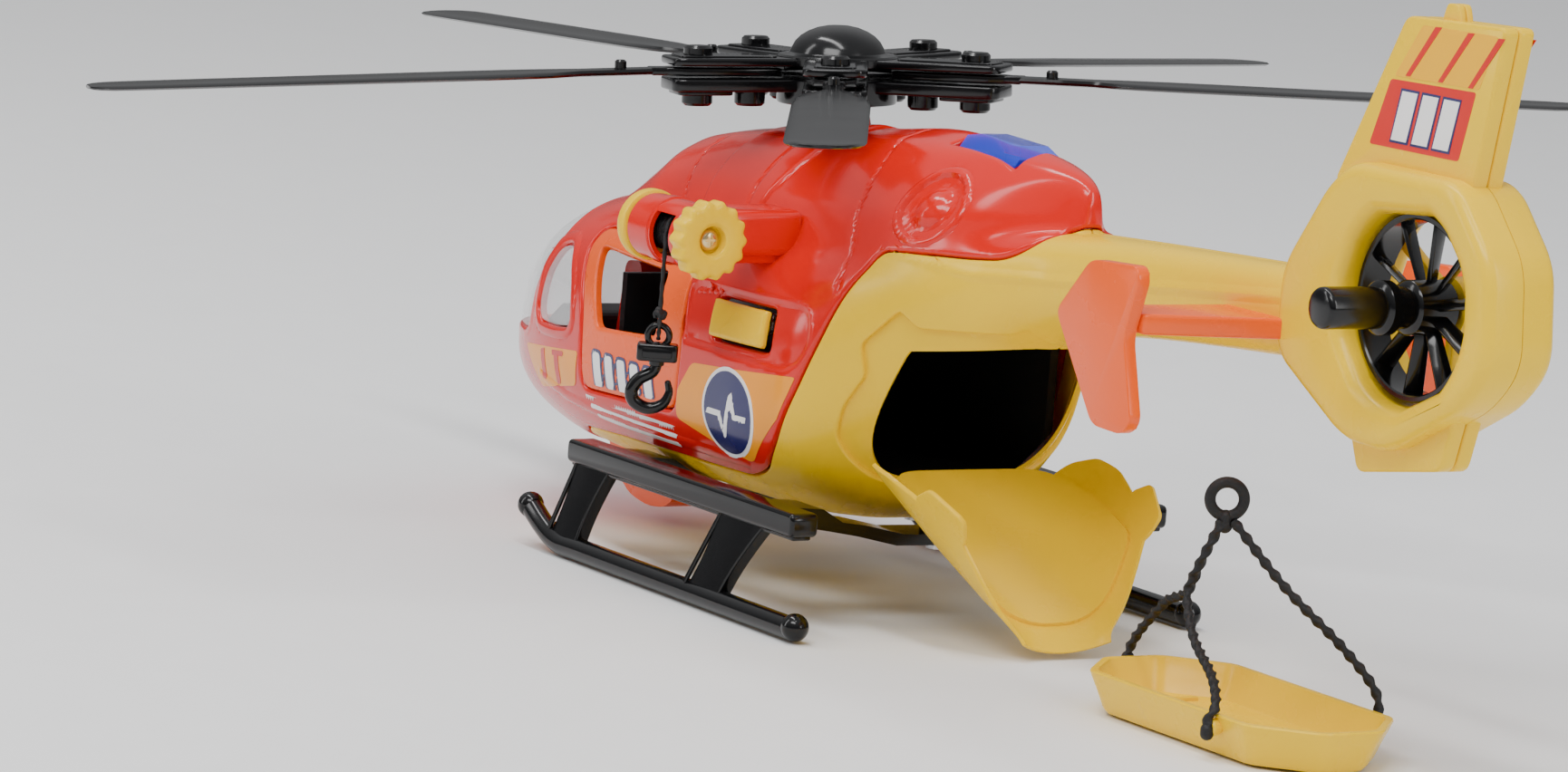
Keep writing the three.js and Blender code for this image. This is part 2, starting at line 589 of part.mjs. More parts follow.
function blade(k) {
  const half = BLADE_CHORD / 2;
  const tip = ROTOR_RADIUS;
  const flat = (shape) => extrude(shape, BLADE_THICK, 1).translate(0, 0, BLADE_Z - BLADE_THICK / 2);
  const side = [[14, -4.6], [36, -4.6], [39.5, -2.4], [43, -2.4]];
  const root = flat(outline([...side, ...side.map(([r, y]) => [r, -y]).reverse()]));
  const shape = outline([
    [41, -2.4], [BLADE_ROOT - 3, -2.4], [BLADE_ROOT + 3, -half * 0.7], [BLADE_ROOT + 14, -half],
    [tip - 4, -half], [tip, -half * 0.5], [tip, half * 0.5], [tip - 4, half],
    [BLADE_ROOT + 10, half], [BLADE_ROOT + 2, half * 0.7], [BLADE_ROOT - 3, 2.4], [41, 2.4],
  ], 1.2);
  const fall = THREE.MathUtils.degToRad(DROOP[k]);
  const outer = flat(shape).translate(-42, 0, -BLADE_Z).rotateY(fall).translate(42, 0, BLADE_Z);
  const stud = rod([49.5, 0, BLADE_Z - 0.6], [49.5, 0, BLADE_Z + 2.4], 1.3, 8);
  return geometryOf(union(solid(root), solid(outer), stud)).rotateZ((2 * Math.PI * k) / BLADES);
}
for (let k = 0; k < BLADES; k += 1) add(`rotor_blade_${k + 1}`, blade(k), BLACK, rotor);

// ---- tail fan with its long spin knob -----------------------------------------------------------
function tailFan() {
  const at = [FAN.x, 0, FAN.z];
  const rimProfile = [[17, -2.2], [18.3, -2.2], [18.3, 4.6], [17, 4.6], [17, -2.2]];
  const rim = turned(rimProfile, 28, Y, at);
  const knobProfile = [
    [0, -2.8], [FAN.hub, -2.8], [FAN.hub, 6.2], [4, 6.8], [4, 10], [5.3, 10.4], [5.3, 13], [4.1, 13.4],
    [4.1, 25.6], [3.3, 26.8], [0, 26.8],
  ];
  const blades = Array.from({ length: FAN.blades }, (_, k) => {
    const paddle = new THREE.BoxGeometry(17.4 - 3, 4.6, 1.3).translate(17.4 / 2 + 1.2, 0, 0);
    paddle.rotateX(0.5).rotateY((2 * Math.PI * k) / FAN.blades);
    return solid(paddle.translate(FAN.x, 1.2, FAN.z));
  });
  const bore = rod([FAN.x, -10, FAN.z], [FAN.x, 3.4, FAN.z], 1.8, 12);
  return cut(union(rim, turned(knobProfile, 20, Y, at), ...blades), bore);
}
add("tail_fan", tailFan(), BLACK);
add("fan_axle", rod([FAN.x, -8, FAN.z], [FAN.x, 3, FAN.z], 1.45, 12), STEEL);

// ---- stabilizer and endplates -------------------------------------------------------------------
const barShape = outline([
  [BAR.front, BAR.reach], [BAR.tip, BAR.reach], [BAR.rear, 8],
  [BAR.rear, -8], [BAR.tip, -BAR.reach], [BAR.front, -BAR.reach],
], 1);
add("stabilizer", planSolid(barShape, BAR.z0, BAR.z1), ORANGE);
const endplateShape = outline([
  [-164.5, 92.4], [-180.4, 93.3], [-181.6, 90.5], [-177.9, 78.8],
  [-182.5, 62.7], [-179.4, 59.9], [-169.3, 60.2], [-153.8, 80.7],
], 2.2);
const endplate = sideSolid(endplateShape, BAR.reach + GAP, BAR.reach + GAP + 2.8);
add("endplate_port", endplate, ORANGE);
add("endplate_starboard", mirrored(endplate), ORANGE);

// ---- skids and their cross members --------------------------------------------------------------
function skid() {
  const { railY, railZ, tubeY, tubeRadius, front, rear } = SKID;
  const sides = 12;
  const centreZ = tubeRadius * Math.cos(Math.PI / sides);
  const railShape = outline([[front, 20.3], [front, 25.5], [rear, 25.5], [rear, 20.3]], 2);
  const rail = sideSolid(railShape, railY - 3.4, railY + 3.4);
  const struts = STRUTS.map(({ top, foot }) => {
    const rect = ([x0, x1], y0, y1, z) => [[x0, y0, z], [x1, y0, z], [x1, y1, z], [x0, y1, z]];
    return loft([rect(top, railY - 1.6, railY + 2.4, railZ), rect(foot, tubeY - 1.5, tubeY + 1.5, centreZ)]);
  });
  const bends = [[-83, centreZ], [17, centreZ], [24.5, 5], [31, 8.6]].map(([x, z]) => [x, tubeY, z]);
  const runs = bends.slice(1).map((end, k) => rod(bends[k], end, tubeRadius, sides));
  const joints = bends.slice(1, 3).map((p) => ball(p, tubeRadius * 0.995));
  const caps = [ball([bends[0][0], tubeY, 3], 3), ball(bends[3], 3)];
  return union(rail, ...struts, ...runs, ...joints, ...caps);
}
const portSkid = skid();
add("skid_port", portSkid, BLACK);
add("skid_starboard", mirrored(portSkid), BLACK);

function crossMember([x0, x1], lift, screw) {
  const edge = SKID.railY - 3.4 - GAP;
  const upper = [[edge, 24.8], [33, 24.2], [28, 21.3], [22, 18.3 + lift], [12, 16.2 + lift], [0, 16 + lift]];
  const lower = [[0, 13.6 + lift], [14, 13.8 + lift], [24, 16 + lift], [31, 19.4], [edge, 20.9]];
  const port = [...upper, ...lower];
  const starboard = port.map(([y, z]) => [-y, z]).reverse();
  const half = frontSolid(outline(port), x0, x1);
  const strap = union(half, frontSolid(outline(starboard), x0, x1));
  const post = rod([screw[0], screw[1], 14 + lift], [screw[0], screw[1], 30], 4, 12);
  const hole = rod([screw[0], screw[1], 5], [screw[0], screw[1], 40], 1.3, 8);
  return cut(union(strap, post), ribs, hole);
}
add("cross_member_front", crossMember([-1, 11], 0, SCREWS[0]), BLACK);
add("cross_member_rear", crossMember([-64, -52.5], 2.2, SCREWS[1]), BLACK);
function skidScrew([x, y], headZ, tipZ) {
  const head = rod([x, y, headZ - 1.4], [x, y, headZ], 2.3, 12);
  return union(head, rod([x, y, headZ - 0.2], [x, y, tipZ], 0.9, 8));
}
add("skid_screw_front", skidScrew(SCREWS[0], 13.3, 25), STEEL);
add("skid_screw_rear", skidScrew(SCREWS[1], 15.5, 27.2), STEEL);

// ---- search-light pod under the nose ------------------------------------------------------------
const podOutline = [
  [43, 20], [43, 7.5], [47, 4.2], [55, 3.2], [64, 4.6], [71, 9.5], [75, 16], [75, 20],
];
const podShape = outline(podOutline, 3);
add("search_light", cut(sideSolid(podShape, -5.5, 5.5), ribs), ORANGE);

// ---- rope winch ---------------------------------------------------------------------------------
const winchAxis = (x0, x1, radius, sides) =>
  rod([x0, WINCH.y, WINCH.z], [x1, WINCH.y, WINCH.z], radius, sides);
function winchHousing() {
  const barrel = winchAxis(WINCH.x0, WINCH.x1, WINCH.radius, 24);
  const arm = sideSolid(outline([[-35.5, 74], [-35.5, 84], [-22, 84], [-22, 74]], 2), 18, WINCH.y);
  const bore = winchAxis(WINCH.x0 - 1, WINCH.x1 + 1, WINCH.bore, 20);
  const slot = box(CORD.x - 4, CORD.x + 4, WINCH.y + 3.8, 70, 66, 83);
  return cut(union(barrel, arm), bore, slot, ribs, cowlClear);
}
add("winch_housing", winchHousing(), RED);

const SPOOL_END = WINCH.x0 - 0.4;
function winchSpool() {
  const drum = winchAxis(SPOOL_END, WINCH.x1 + 1, 3.2, 16);
  const flangeProfile = [[0, 0], [7.1, 0], [7.7, 0.6], [7.7, 2.6], [7.1, 3.2], [0, 3.2]];
  const flange = turned(flangeProfile, 28, X, [WINCH.x1 + 0.6, WINCH.y, WINCH.z]);
  return cut(union(drum, flange), winchAxis(SPOOL_END - 2, SPOOL_END + 12, 1.2, 8));
}
add("winch_spool", winchSpool(), YELLOW);
const windingProfile = [[3.55, -36.5], [4.5, -36.5], [4.5, -20], [3.55, -20], [3.55, -36.5]];
add("cord_winding", turned(windingProfile, 20, X, [0, WINCH.y, WINCH.z]), BLACK);

function winchKnob() {
  const [lobes, points] = [14, 56];
  const shape = new THREE.Shape();
  for (let k = 0; k < points; k += 1) {
    const angle = (2 * Math.PI * k) / points;
    const radius = 8.15 + 0.45 * Math.cos(lobes * angle);
    const [a, b] = [WINCH.y + radius * Math.cos(angle), WINCH.z + radius * Math.sin(angle)];
    if (k === 0) shape.moveTo(a, b);
    else shape.lineTo(a, b);
  }
  shape.closePath();
  const [rear, front] = [SPOOL_END - 5.3, SPOOL_END - 0.3];
  const recess = winchAxis(rear - 1, front - 2, 2.9, 16);
  return cut(frontSolid(shape, rear, front), recess, winchAxis(rear, front + 1, 1.2, 8));
}
add("winch_knob", winchKnob(), YELLOW);
const screwHead = winchAxis(SPOOL_END - 4, SPOOL_END - 2.6, 2.3, 12);
add("winch_screw", union(screwHead, winchAxis(SPOOL_END - 2.7, SPOOL_END + 10, 0.85, 8)), BRASS);

// ---- winch cord, swivel block and hook ----------------------------------------------------------
const HANG_Y = WINCH.y + 4.5 + CORD.radius + 0.3; // the cord leaves the winding on its outer side
const KNOT_Z = 61.4;
const HOOK_TURN = THREE.MathUtils.degToRad(58); // the hook's own plane, turned from the nose towards port
const hang = (h, z) => [CORD.x + h * Math.cos(HOOK_TURN), HANG_Y + h * Math.sin(HOOK_TURN), z];
const cordPath = [CORD.top, 70, KNOT_Z + 1.4].map((z) => [CORD.x, HANG_Y, z]);
add("winch_cord", tube(cordPath, CORD.radius, 8, 8), BLACK);
function cordLoop() {
  const across = (h, z) => [CORD.x - h * Math.sin(HOOK_TURN), HANG_Y + h * Math.cos(HOOK_TURN), z];
  const sides = [[0.3, KNOT_Z], [1.6, 60.2], [1.9, 58], [1.1, 56.5], [0, 56.1]];
  const back = sides.slice(0, -1).reverse().map(([h, z]) => [-h, z]);
  const strand = tube([...sides, ...back].map(([h, z]) => across(h, z)), 0.42, 6, 16);
  return union(solid(strand), ball([CORD.x, HANG_Y, KNOT_Z], 1.1, 8));
}
add("cord_loop", cordLoop(), BLACK);

function hookBlock() {
  const [cos, sin] = [Math.cos(HOOK_TURN), Math.sin(HOOK_TURN)];
  const corners = [[-4.4, -2.3], [4.4, -2.3], [4.4, 2.3], [-4.4, 2.3]];
  const plan = outline(corners.map(([x, y]) => [x * cos - y * sin, x * sin + y * cos]), 1);
  const block = moved(planSolid(plan, 51.2, 55), CORD.x, HANG_Y, 0);
  const eye = new THREE.TorusGeometry(2.3, 0.72, 6, 14).rotateX(Math.PI / 2).rotateZ(HOOK_TURN);
  return union(block, solid(eye.translate(CORD.x, HANG_Y, 56.6)));
}
add("hook_block", hookBlock(), BLACK);
const hookPath = [
  [0.4, 50.6], [0.9, 48.8], [3.7, 47], [5, 44.5], [4, 42], [1.1, 41],
  [-1.7, 42], [-3, 44.6], [-2.5, 47.4],
];
add("hook", tube(hookPath.map(([h, z]) => hang(h, z)), 1.2, 8, 20), BLACK);

// ---- tailgate: the rear of the hull, hung on the lower edge of the loading opening --------------
const gate = new THREE.Group();
gate.position.set(HINGE.x, 0, HINGE.z);
gate.rotation.y = THREE.MathUtils.degToRad(-GATE_OPEN);
helicopter.add(gate);
// Thin lip round the tailgate, seated in the hull's rebate, and the grip at each upper corner.
const LIP = [
  [-62, 34.5], [-61.2, 39], [-64, 46.2], [-73, 59.6], [-76.6, 63.6], [-98.4, 66.2], [-102.4, 68.2],
  [-102.4, 40], [-64, 33.5],
];
const GRIP = [[-68.7, 53.6], [-67.4, 60], [-74.4, 67.8], [-79, 64.8], [-80, 60], [-72, 54]];
function tailgate() {
  const edge = [[-63.4, 10], [-63.4, 30.6], [-78.2, 59.7], [-98.3, 61.4], [-112, 58.4], [-112, 10]];
  const region = through(edge);
  const shell = cut(bodyOut, body(1.8)).intersect(region);
  const rim = cut(bodyOut, body(0.9)).intersect(union(through(LIP), through(GRIP, 1)));
  return geometryOf(union(shell, rim)).translate(-HINGE.x, 0, -HINGE.z);
}
add("tailgate", tailgate(), YELLOW, gate);

// ---- stretcher and its moulded three-leg sling --------------------------------------------------
function stretcherPlan(inset) {
  const [a, b] = [STRETCHER.length / 2 - inset, STRETCHER.width / 2 - inset];
  const c = STRETCHER.chamfer - inset * 0.4;
  const portHalf = [[a, b - c], [a - c, b], [c - a, b], [-a, b - c]];
  const corners = [...portHalf, ...portHalf.map(([along, across]) => [along, -across]).reverse()];
  return corners.map(([x, y]) => [x + STRETCHER.x, y + STRETCHER.y]);
}
function stretcherTray() {
  const { x, y, width, height, wall } = STRETCHER;
  const outer = planSolid(outline(stretcherPlan(0), 2), 0, height + 3);
  const inner = planSolid(outline(stretcherPlan(wall), 2), wall, 20);
  const above = box(x - 60, x + 60, y - width, y + width, height, 20);
  const raised = box(x - 20, x + 16, y - width / 2 - 1, y - width / 2 + 3, height - 1, 20);
  const dip = box(x - 18, x + 20, y + width / 2 - 3, y + width / 2 + 1, height - 2, 20);
  const slotShape = [[x - 14, y - 4], [x + 18, y - 4], [x + 18, y + 4], [x - 14, y + 4]];
  const slot = planSolid(outline(slotShape, 2), -1, 4);
  return cut(outer, inner, cut(above, raised), dip, slot);
}
add("stretcher_tray", stretcherTray(), YELLOW);

const RING = [-176, 10, 46];
function sling() {
  const ring = new THREE.TorusGeometry(3.4, 1.15, 8, 20).rotateY(Math.PI / 2).rotateZ(-0.55);
  const nearY = STRETCHER.y + STRETCHER.width / 2;
  const farY = STRETCHER.y - STRETCHER.width / 2;
  const head = STRETCHER.x + STRETCHER.length / 2;
  const bowLeg = [
    [-175.6, 10.6, 41.6], [-172, 12, 33], [-168.5, 12.4, 26], [-160, 11, 22.5],
    [-152, 10.4, 15.5], [head - 0.8, 10, 10.4],
  ];
  const nearLeg = [
    [-176.4, 10.8, 41.6], [-173.6, 13.4, 33], [-171, 14, 26], [-180, 18, 19],
    [-194, 23, 14.2], [-202, nearY - 0.6, 10.4], [-203, nearY + 1.7, 7.8], [-203, nearY + 1.7, 5],
  ];
  const farLeg = [
    [-177.4, 9, 41.8], [-187, 2, 30], [-197, -6, 19.5],
    [-204, farY - 1.6, 12], [-205.5, farY - 1.7, 5],
  ];
  const strands = [bowLeg, nearLeg, farLeg].map((points) => solid(tube(points, 1.1, 6, 12)));
  const collar = ball([RING[0], RING[1], RING[2] - 4.2], 1.9, 8);
  return union(solid(ring.translate(...RING)), collar, ...strands);
}
add("stretcher_sling", sling(), BLACK);

// The part's frame has its origin at the centre of the floor area that the object covers.
const cover = new THREE.Box3().setFromObject(helicopter, true);
const middle = cover.getCenter(new THREE.Vector3());
helicopter.position.set(-middle.x, -middle.y, -cover.min.z);

export default helicopter;
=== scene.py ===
"""Looks of the toy helicopter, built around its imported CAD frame.

Shapes are worked out in millimetres in the helicopter's own frame (+X nose, +Y port, +Z up, rotor mast at
x = -4) and moved into the frame's metres when each mesh is made.
"""
import math

import bpy
import numpy as np
from mathutils import Matrix, Vector


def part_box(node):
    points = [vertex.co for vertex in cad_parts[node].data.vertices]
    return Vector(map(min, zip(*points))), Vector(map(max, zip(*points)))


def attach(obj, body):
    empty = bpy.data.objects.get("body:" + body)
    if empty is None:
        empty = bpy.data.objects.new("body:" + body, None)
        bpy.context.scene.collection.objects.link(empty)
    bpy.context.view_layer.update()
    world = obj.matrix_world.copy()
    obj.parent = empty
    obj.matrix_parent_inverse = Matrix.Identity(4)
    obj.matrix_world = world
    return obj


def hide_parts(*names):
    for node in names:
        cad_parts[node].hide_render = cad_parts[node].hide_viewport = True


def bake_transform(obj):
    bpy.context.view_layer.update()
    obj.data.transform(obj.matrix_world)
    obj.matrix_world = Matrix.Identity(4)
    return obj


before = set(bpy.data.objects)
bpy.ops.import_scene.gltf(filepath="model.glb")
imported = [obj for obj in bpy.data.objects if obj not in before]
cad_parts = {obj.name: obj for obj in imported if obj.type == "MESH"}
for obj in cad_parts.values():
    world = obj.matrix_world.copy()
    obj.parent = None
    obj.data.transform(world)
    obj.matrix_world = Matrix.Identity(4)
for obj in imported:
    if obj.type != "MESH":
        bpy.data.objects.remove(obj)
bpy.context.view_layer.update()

TAU = 2 * math.pi
X, Y, Z = 0, 1, 2
SIDES = ((1, "port"), (-1, "starboard"))
FUSELAGE = "fuselage"
FAN_X, FAN_Z = -223.0, 91.5


def middle(node):
    low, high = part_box(node)
    return [(a + b) * 500 for a, b in zip(low, high)]


SHIFT = np.array([middle("tail_fan")[0] - FAN_X, middle("stabilizer")[1], 0.0])


def add(name, data):
    """A new object in the scene."""
    made = bpy.data.objects.new(name, data)
    bpy.context.scene.collection.objects.link(made)
    return made


def put(node, **values):
    """Sets a node's inputs, named with _ for each space."""
    for key, value in values.items():
        node.inputs[key.replace("_", " ")].default_value = value


# ---- camera ----
AZIMUTH, ELEVATION, ROLL = 31.99, 8.14, 4.42
AIM, DISTANCE = (8.575, 0, 38.6), 1409.4
SENSOR, FOCAL_IN_WIDTHS = 36, 6949.14 / 1730


def place_camera():
    azimuth, elevation, roll = (math.radians(a) for a in (AZIMUTH, ELEVATION, ROLL))
    forward = Vector((math.cos(azimuth) * math.cos(elevation), -math.sin(azimuth) * math.cos(elevation),
                      -math.sin(elevation)))
    right = forward.cross(Vector((0, 0, 1))).normalized()
    up = right.cross(forward)
    location = (Vector(AIM) + Vector(SHIFT) - forward * DISTANCE) / 1000
    side = right * math.cos(roll) + up * math.sin(roll)
    top = up * math.cos(roll) - right * math.sin(roll)
    turn = Matrix((side, top, -forward)).transposed().to_4x4()
    data = bpy.data.cameras.new("camera")
    data.sensor_width = SENSOR
    data.lens = FOCAL_IN_WIDTHS * SENSOR
    data.clip_end = 20
    camera = add("camera", data)
    camera.matrix_world = Matrix.Translation(location) @ turn
    bpy.context.scene.camera = camera


place_camera()


# ---- materials ----
FLOW_SCALE, POLISH_SCALE, PEEL_DEPTH = 22, 90, 0.0006


def plastic(name, colour, rough=0.22, spread=0.05, grain=0.02, coat=0.35, metal=0.0, scale=260.0, shine=0.36):
    """Moulded plastic: slow colour drift from the mould flow, patchy polish and a faint orange peel."""
    material = bpy.data.materials.new(name)
    material.use_nodes = True
    nodes, links = material.node_tree.nodes, material.node_tree.links
    shader = nodes["Principled BSDF"]
    place = nodes.new("ShaderNodeTexCoord")

    def noise(size, detail):
        node = nodes.new("ShaderNodeTexNoise")
        put(node, Scale=size, Detail=detail)
        links.new(place.outputs["Object"], node.inputs["Vector"])
        return node.outputs["Fac"]

    mix = nodes.new("ShaderNodeMix")
    mix.data_type = "RGBA"
    put(mix, A=(*[c * (1 - spread) for c in colour], 1), B=(*[min(1, c * (1 + spread)) for c in colour], 1))
    links.new(noise(FLOW_SCALE, 3), mix.inputs["Factor"])
    links.new(mix.outputs["Result"], shader.inputs["Base Color"])
    span = nodes.new("ShaderNodeMapRange")
    put(span, To_Min=rough * 0.75, To_Max=rough * 1.3)
    links.new(noise(POLISH_SCALE, 4), span.inputs["Value"])
    links.new(span.outputs["Result"], shader.inputs["Roughness"])
    bump = nodes.new("ShaderNodeBump")
    put(bump, Strength=grain, Distance=PEEL_DEPTH)
    links.new(noise(scale, 2), bump.inputs["Height"])
    links.new(bump.outputs["Normal"], shader.inputs["Normal"])
    put(shader, Specular_IOR_Level=shine, Coat_Weight=coat, Coat_Roughness=0.08, Metallic=metal)
    return material


def clear(name, colour, rough, alpha):
    """Clear moulded plastic with faint flow marks."""
    material = plastic(name, colour, rough, 0.02, coat=0.5)
    put(material.node_tree.nodes["Principled BSDF"], Alpha=alpha)
    return material


RED = plastic("red_plastic", (0.72, 0.007, 0.003), 0.17, 0.05, 0.016, coat=0.25)
YELLOW = plastic("yellow_plastic", (0.92, 0.58, 0.0), 0.26, 0.03, 0.02, coat=0.05, shine=0.25)
ORANGE = plastic("orange_plastic", (0.95, 0.105, 0.002), 0.27, 0.04, 0.02, coat=0.15)
BLACK = plastic("black_plastic", (0.003, 0.003, 0.0035), 0.16, 0.2, 0.02, coat=0.08)
SATIN = plastic("satin_black_plastic", (0.012, 0.012, 0.013), 0.36, 0.2, 0.06, coat=0.1)
CORD_BLACK = plastic("black_cord", (0.010, 0.010, 0.011), 0.55, 0.35, 0.4, coat=0.0, scale=1500)
CLEAR = clear("clear_plastic", (0.93, 0.95, 0.96), 0.06, 0.30)
BLUE = clear("blue_lens", (0.012, 0.05, 0.75), 0.07, 0.62)
STEEL = plastic("screw_steel", (0.60, 0.61, 0.63), 0.28, 0.06, 0.05, coat=0.0, metal=1.0)
BRASS = plastic("screw_brass", (0.78, 0.60, 0.30), 0.26, 0.08, 0.05, coat=0.0, metal=1.0)
BOARD = plastic("circuit_board", (0.03, 0.20, 0.07), 0.45, 0.2, 0.1, coat=0.2, scale=900)
LED = plastic("led_epoxy", (0.82, 0.90, 0.98), 0.12, 0.03, 0.01)
put(LED.node_tree.nodes["Principled BSDF"], Emission_Color=(0.55, 0.75, 1.0, 1), Emission_Strength=12)
STICKER_AMBER = plastic("sticker_amber", (0.98, 0.34, 0.001), 0.24, 0.03, 0.01, coat=0.15)
STICKER_GOLD = plastic("sticker_gold", (0.95, 0.47, 0.0), 0.24, 0.03, 0.01, coat=0.05, shine=0.25)
STICKER_WHITE = plastic("sticker_white", (0.90, 0.90, 0.90), 0.24, 0.02, 0.01)
STICKER_NAVY = plastic("sticker_navy", (0.012, 0.012, 0.10), 0.24, 0.08, 0.01)
STICKER_RED = plastic("sticker_red", (0.66, 0.010, 0.003), 0.24, 0.05, 0.01, coat=0.15)


# ---- outlines and distances ----
def rounded(points, radius, steps=5):
    """Corner points turned into a closed outline with rounded corners."""
    points = np.array(points, float)
    out = []
    for before, corner, after in zip(np.roll(points, 1, 0), points, np.roll(points, -1, 0)):
        into, away = before - corner, after - corner
        reach = min(radius, np.linalg.norm(into) / 2, np.linalg.norm(away) / 2)
        start = corner + into / np.linalg.norm(into) * reach
        end = corner + away / np.linalg.norm(away) * reach
        for t in np.linspace(0, 1, steps):
            out.append(start * (1 - t) ** 2 + corner * 2 * t * (1 - t) + end * t * t)
    return np.array(out)


def circle(a, b, radius, steps=40):
    turns = np.arange(steps) * TAU / steps
    return np.stack([a + radius * np.cos(turns), b + radius * np.sin(turns)], 1)


def rectangle(x0, x1, half, radius=0.0):
    """An outline from x0 to x1 and from -half to half, with rounded corners if radius isn't 0."""
    corners = [(x0, -half), (x1, -half), (x1, half), (x0, half)]
    return rounded(corners, radius) if radius else corners


def gap_to(points, start, end):
    """Distances from points to the straight line between two points."""
    edge = end - start
    t = np.clip((points - start) @ edge / max(edge @ edge, 1e-12), 0, 1)
    return np.linalg.norm(points - start - t[:, None] * edge, axis=1)


def inside(outline, columns=(X, Z)):
    """A distance, positive inside the outline, of points seen along the axis that columns leaves out."""
    a = np.asarray(outline, float)
    b = np.roll(a, -1, 0)

    def distance(points):
        p = points[:, columns]
        best = np.full(len(p), 1e9)
        odd = np.zeros(len(p), bool)
        for start, end in zip(a, b):
            edge = end - start
            best = np.minimum(best, gap_to(p, start, end))
            spans = (start[1] > p[:, 1]) != (end[1] > p[:, 1])
            if abs(edge[1]) > 1e-12:
                odd ^= spans & (p[:, 0] < start[0] + (p[:, 1] - start[1]) * edge[0] / edge[1])
        return np.where(odd, best, -best)

    return distance


def shape(points, radius=0.0):
    return inside(rounded(points, radius) if radius else points)


def grown(field, amount):
    return lambda p: field(p) + amount


def both(*fields):
    return lambda p: np.min([f(p) for f in fields], 0)


def either(*fields):
    return lambda p: np.max([f(p) for f in fields], 0)


def outside(field):
    return lambda p: -field(p)


def beyond(axis, level):
    return lambda p: p[:, axis] - level


def short_of(axis, level):
    return lambda p: level - p[:, axis]


def side_of(field, sign):
    """The part of a field on the port (1) or starboard (-1) side."""
    return lambda p: np.minimum(field(p), sign * p[:, Y] - 2)


def near_line(points):
    """Minus the distance to an open line seen from the side, so that a groove's middle is at 0."""
    a = np.array(points, float)
    return lambda p: -np.min([gap_to(p[:, (X, Z)], start, end) for start, end in zip(a[:-1], a[1:])], 0)


# ---- triangle meshes ----
def split(verts, tris, values, level):
    """Cuts every triangle that crosses the level of values, so that an edge runs along it."""
    over = values >= level
    count = over[tris].sum(1)
    crossing = (count == 1) | (count == 2)
    if not crossing.any():
        return verts, tris
    work = tris[crossing]
    lone = np.where((count[crossing] == 1)[:, None], over[work], ~over[work]).argmax(1)
    rows = np.arange(len(work))
    a, b, c = (work[rows, (lone + k) % 3] for k in range(3))
    pairs = np.sort(np.concatenate([np.stack([a, b], 1), np.stack([a, c], 1)]), 1)
    unique, index = np.unique(pairs, axis=0, return_inverse=True)
    index = index.reshape(-1)
    low, high = values[unique[:, 0]], values[unique[:, 1]]
    t = np.clip((level - low) / (high - low), 0, 1)[:, None]
    fresh = verts[unique[:, 0]] * (1 - t) + verts[unique[:, 1]] * t
    p, q = index[:len(work)] + len(verts), index[len(work):] + len(verts)
    parts = [np.stack([a, p, q], 1), np.stack([p, b, c], 1), np.stack([p, c, q], 1)]
    return np.concatenate([verts, fresh]), np.concatenate([tris[~crossing], *parts])


def tidy(verts, tris, grid=2e-3):
    """Welds points closer than the grid, drops flat triangles and unused points."""
    keys = np.round(verts / grid).astype(np.int64)
    _, first, index = np.unique(keys, axis=0, return_index=True, return_inverse=True)
    tris = index.reshape(-1)[tris]
    verts = verts[first]
    good = (tris[:, 0] != tris[:, 1]) & (tris[:, 1] != tris[:, 2]) & (tris[:, 0] != tris[:, 2])
    tris = tris[good]
    used, index = np.unique(tris, return_inverse=True)
    return verts[used], index.reshape(-1, 3)


def normals(verts, tris):
    corners = verts[tris]
    faces = np.cross(corners[:, 1] - corners[:, 0], corners[:, 2] - corners[:, 0])
    out = np.zeros_like(verts)
    for k in range(3):
        np.add.at(out, tris[:, k], faces)
    return out / np.maximum(np.linalg.norm(out, axis=1), 1e-12)[:, None]


def emboss(verts, tris, field, profile):
    """Raises the skin by a height that depends on the field: profile is [(level, height), ...]."""
    levels = [level for level, _ in profile]
    for level in levels:
        verts, tris = split(verts, tris, field(verts), level)
    height = np.interp(field(verts), levels, [h for _, h in profile])
    moving = np.abs(height) > 1e-6
    verts = verts.copy()
    verts[moving] += (normals(verts, tris) * height[:, None])[moving]
    return verts, tris


def trimmed(verts, tris, field, thick, edge=0.5, lift=0.0):
    """The part of the skin where field > 0, as a closed sheet with rounded edges."""
    near = field(verts)[tris].max(1) > -1.5
    verts, tris = tidy(verts, tris[near])
    levels = [edge, edge * 0.62, edge * 0.3, edge * 0.1, 0.0] if edge else [0.0]
    for level in levels:
        verts, tris = split(verts, tris, field(verts), level)
    values = field(verts)
    keep = values[tris].mean(1) > 0
    verts, tris = tidy(verts, tris[keep])
    out = normals(verts, tris)
    values = np.maximum(field(verts), 0)
    drop = np.zeros(len(verts))
    if edge:
        inward = np.clip(edge - values, 0, edge)
        drop = edge - np.sqrt(np.maximum(edge ** 2 - inward ** 2, 0))
    top = verts + out * (lift - drop)[:, None]
    bottom = verts - out * (thick - lift)
    edges = np.sort(np.concatenate([tris[:, [0, 1]], tris[:, [1, 2]], tris[:, [2, 0]]]), 1)
    ordered = np.concatenate([tris[:, [0, 1]], tris[:, [1, 2]], tris[:, [2, 0]]])
    _, index, count = np.unique(edges, axis=0, return_inverse=True, return_counts=True)
    rim = ordered[count[index.reshape(-1)] == 1]
    n = len(verts)
    sides = np.concatenate([np.stack([rim[:, 1], rim[:, 0], rim[:, 0] + n], 1),
                            np.stack([rim[:, 1], rim[:, 0] + n, rim[:, 1] + n], 1)])
    return np.concatenate([top, bottom]), np.concatenate([tris, tris[:, ::-1] + n, sides])


# ---- making Blender objects ----
def object_of(name, verts, faces, material):
    mesh = bpy.data.meshes.new(name)
    points = (np.asarray(verts, float) + SHIFT) / 1000
    mesh.from_pydata(points.tolist(), [], [list(map(int, f)) for f in faces])
    mesh.validate()
    mesh.materials.append(material)
    return add(name, mesh)


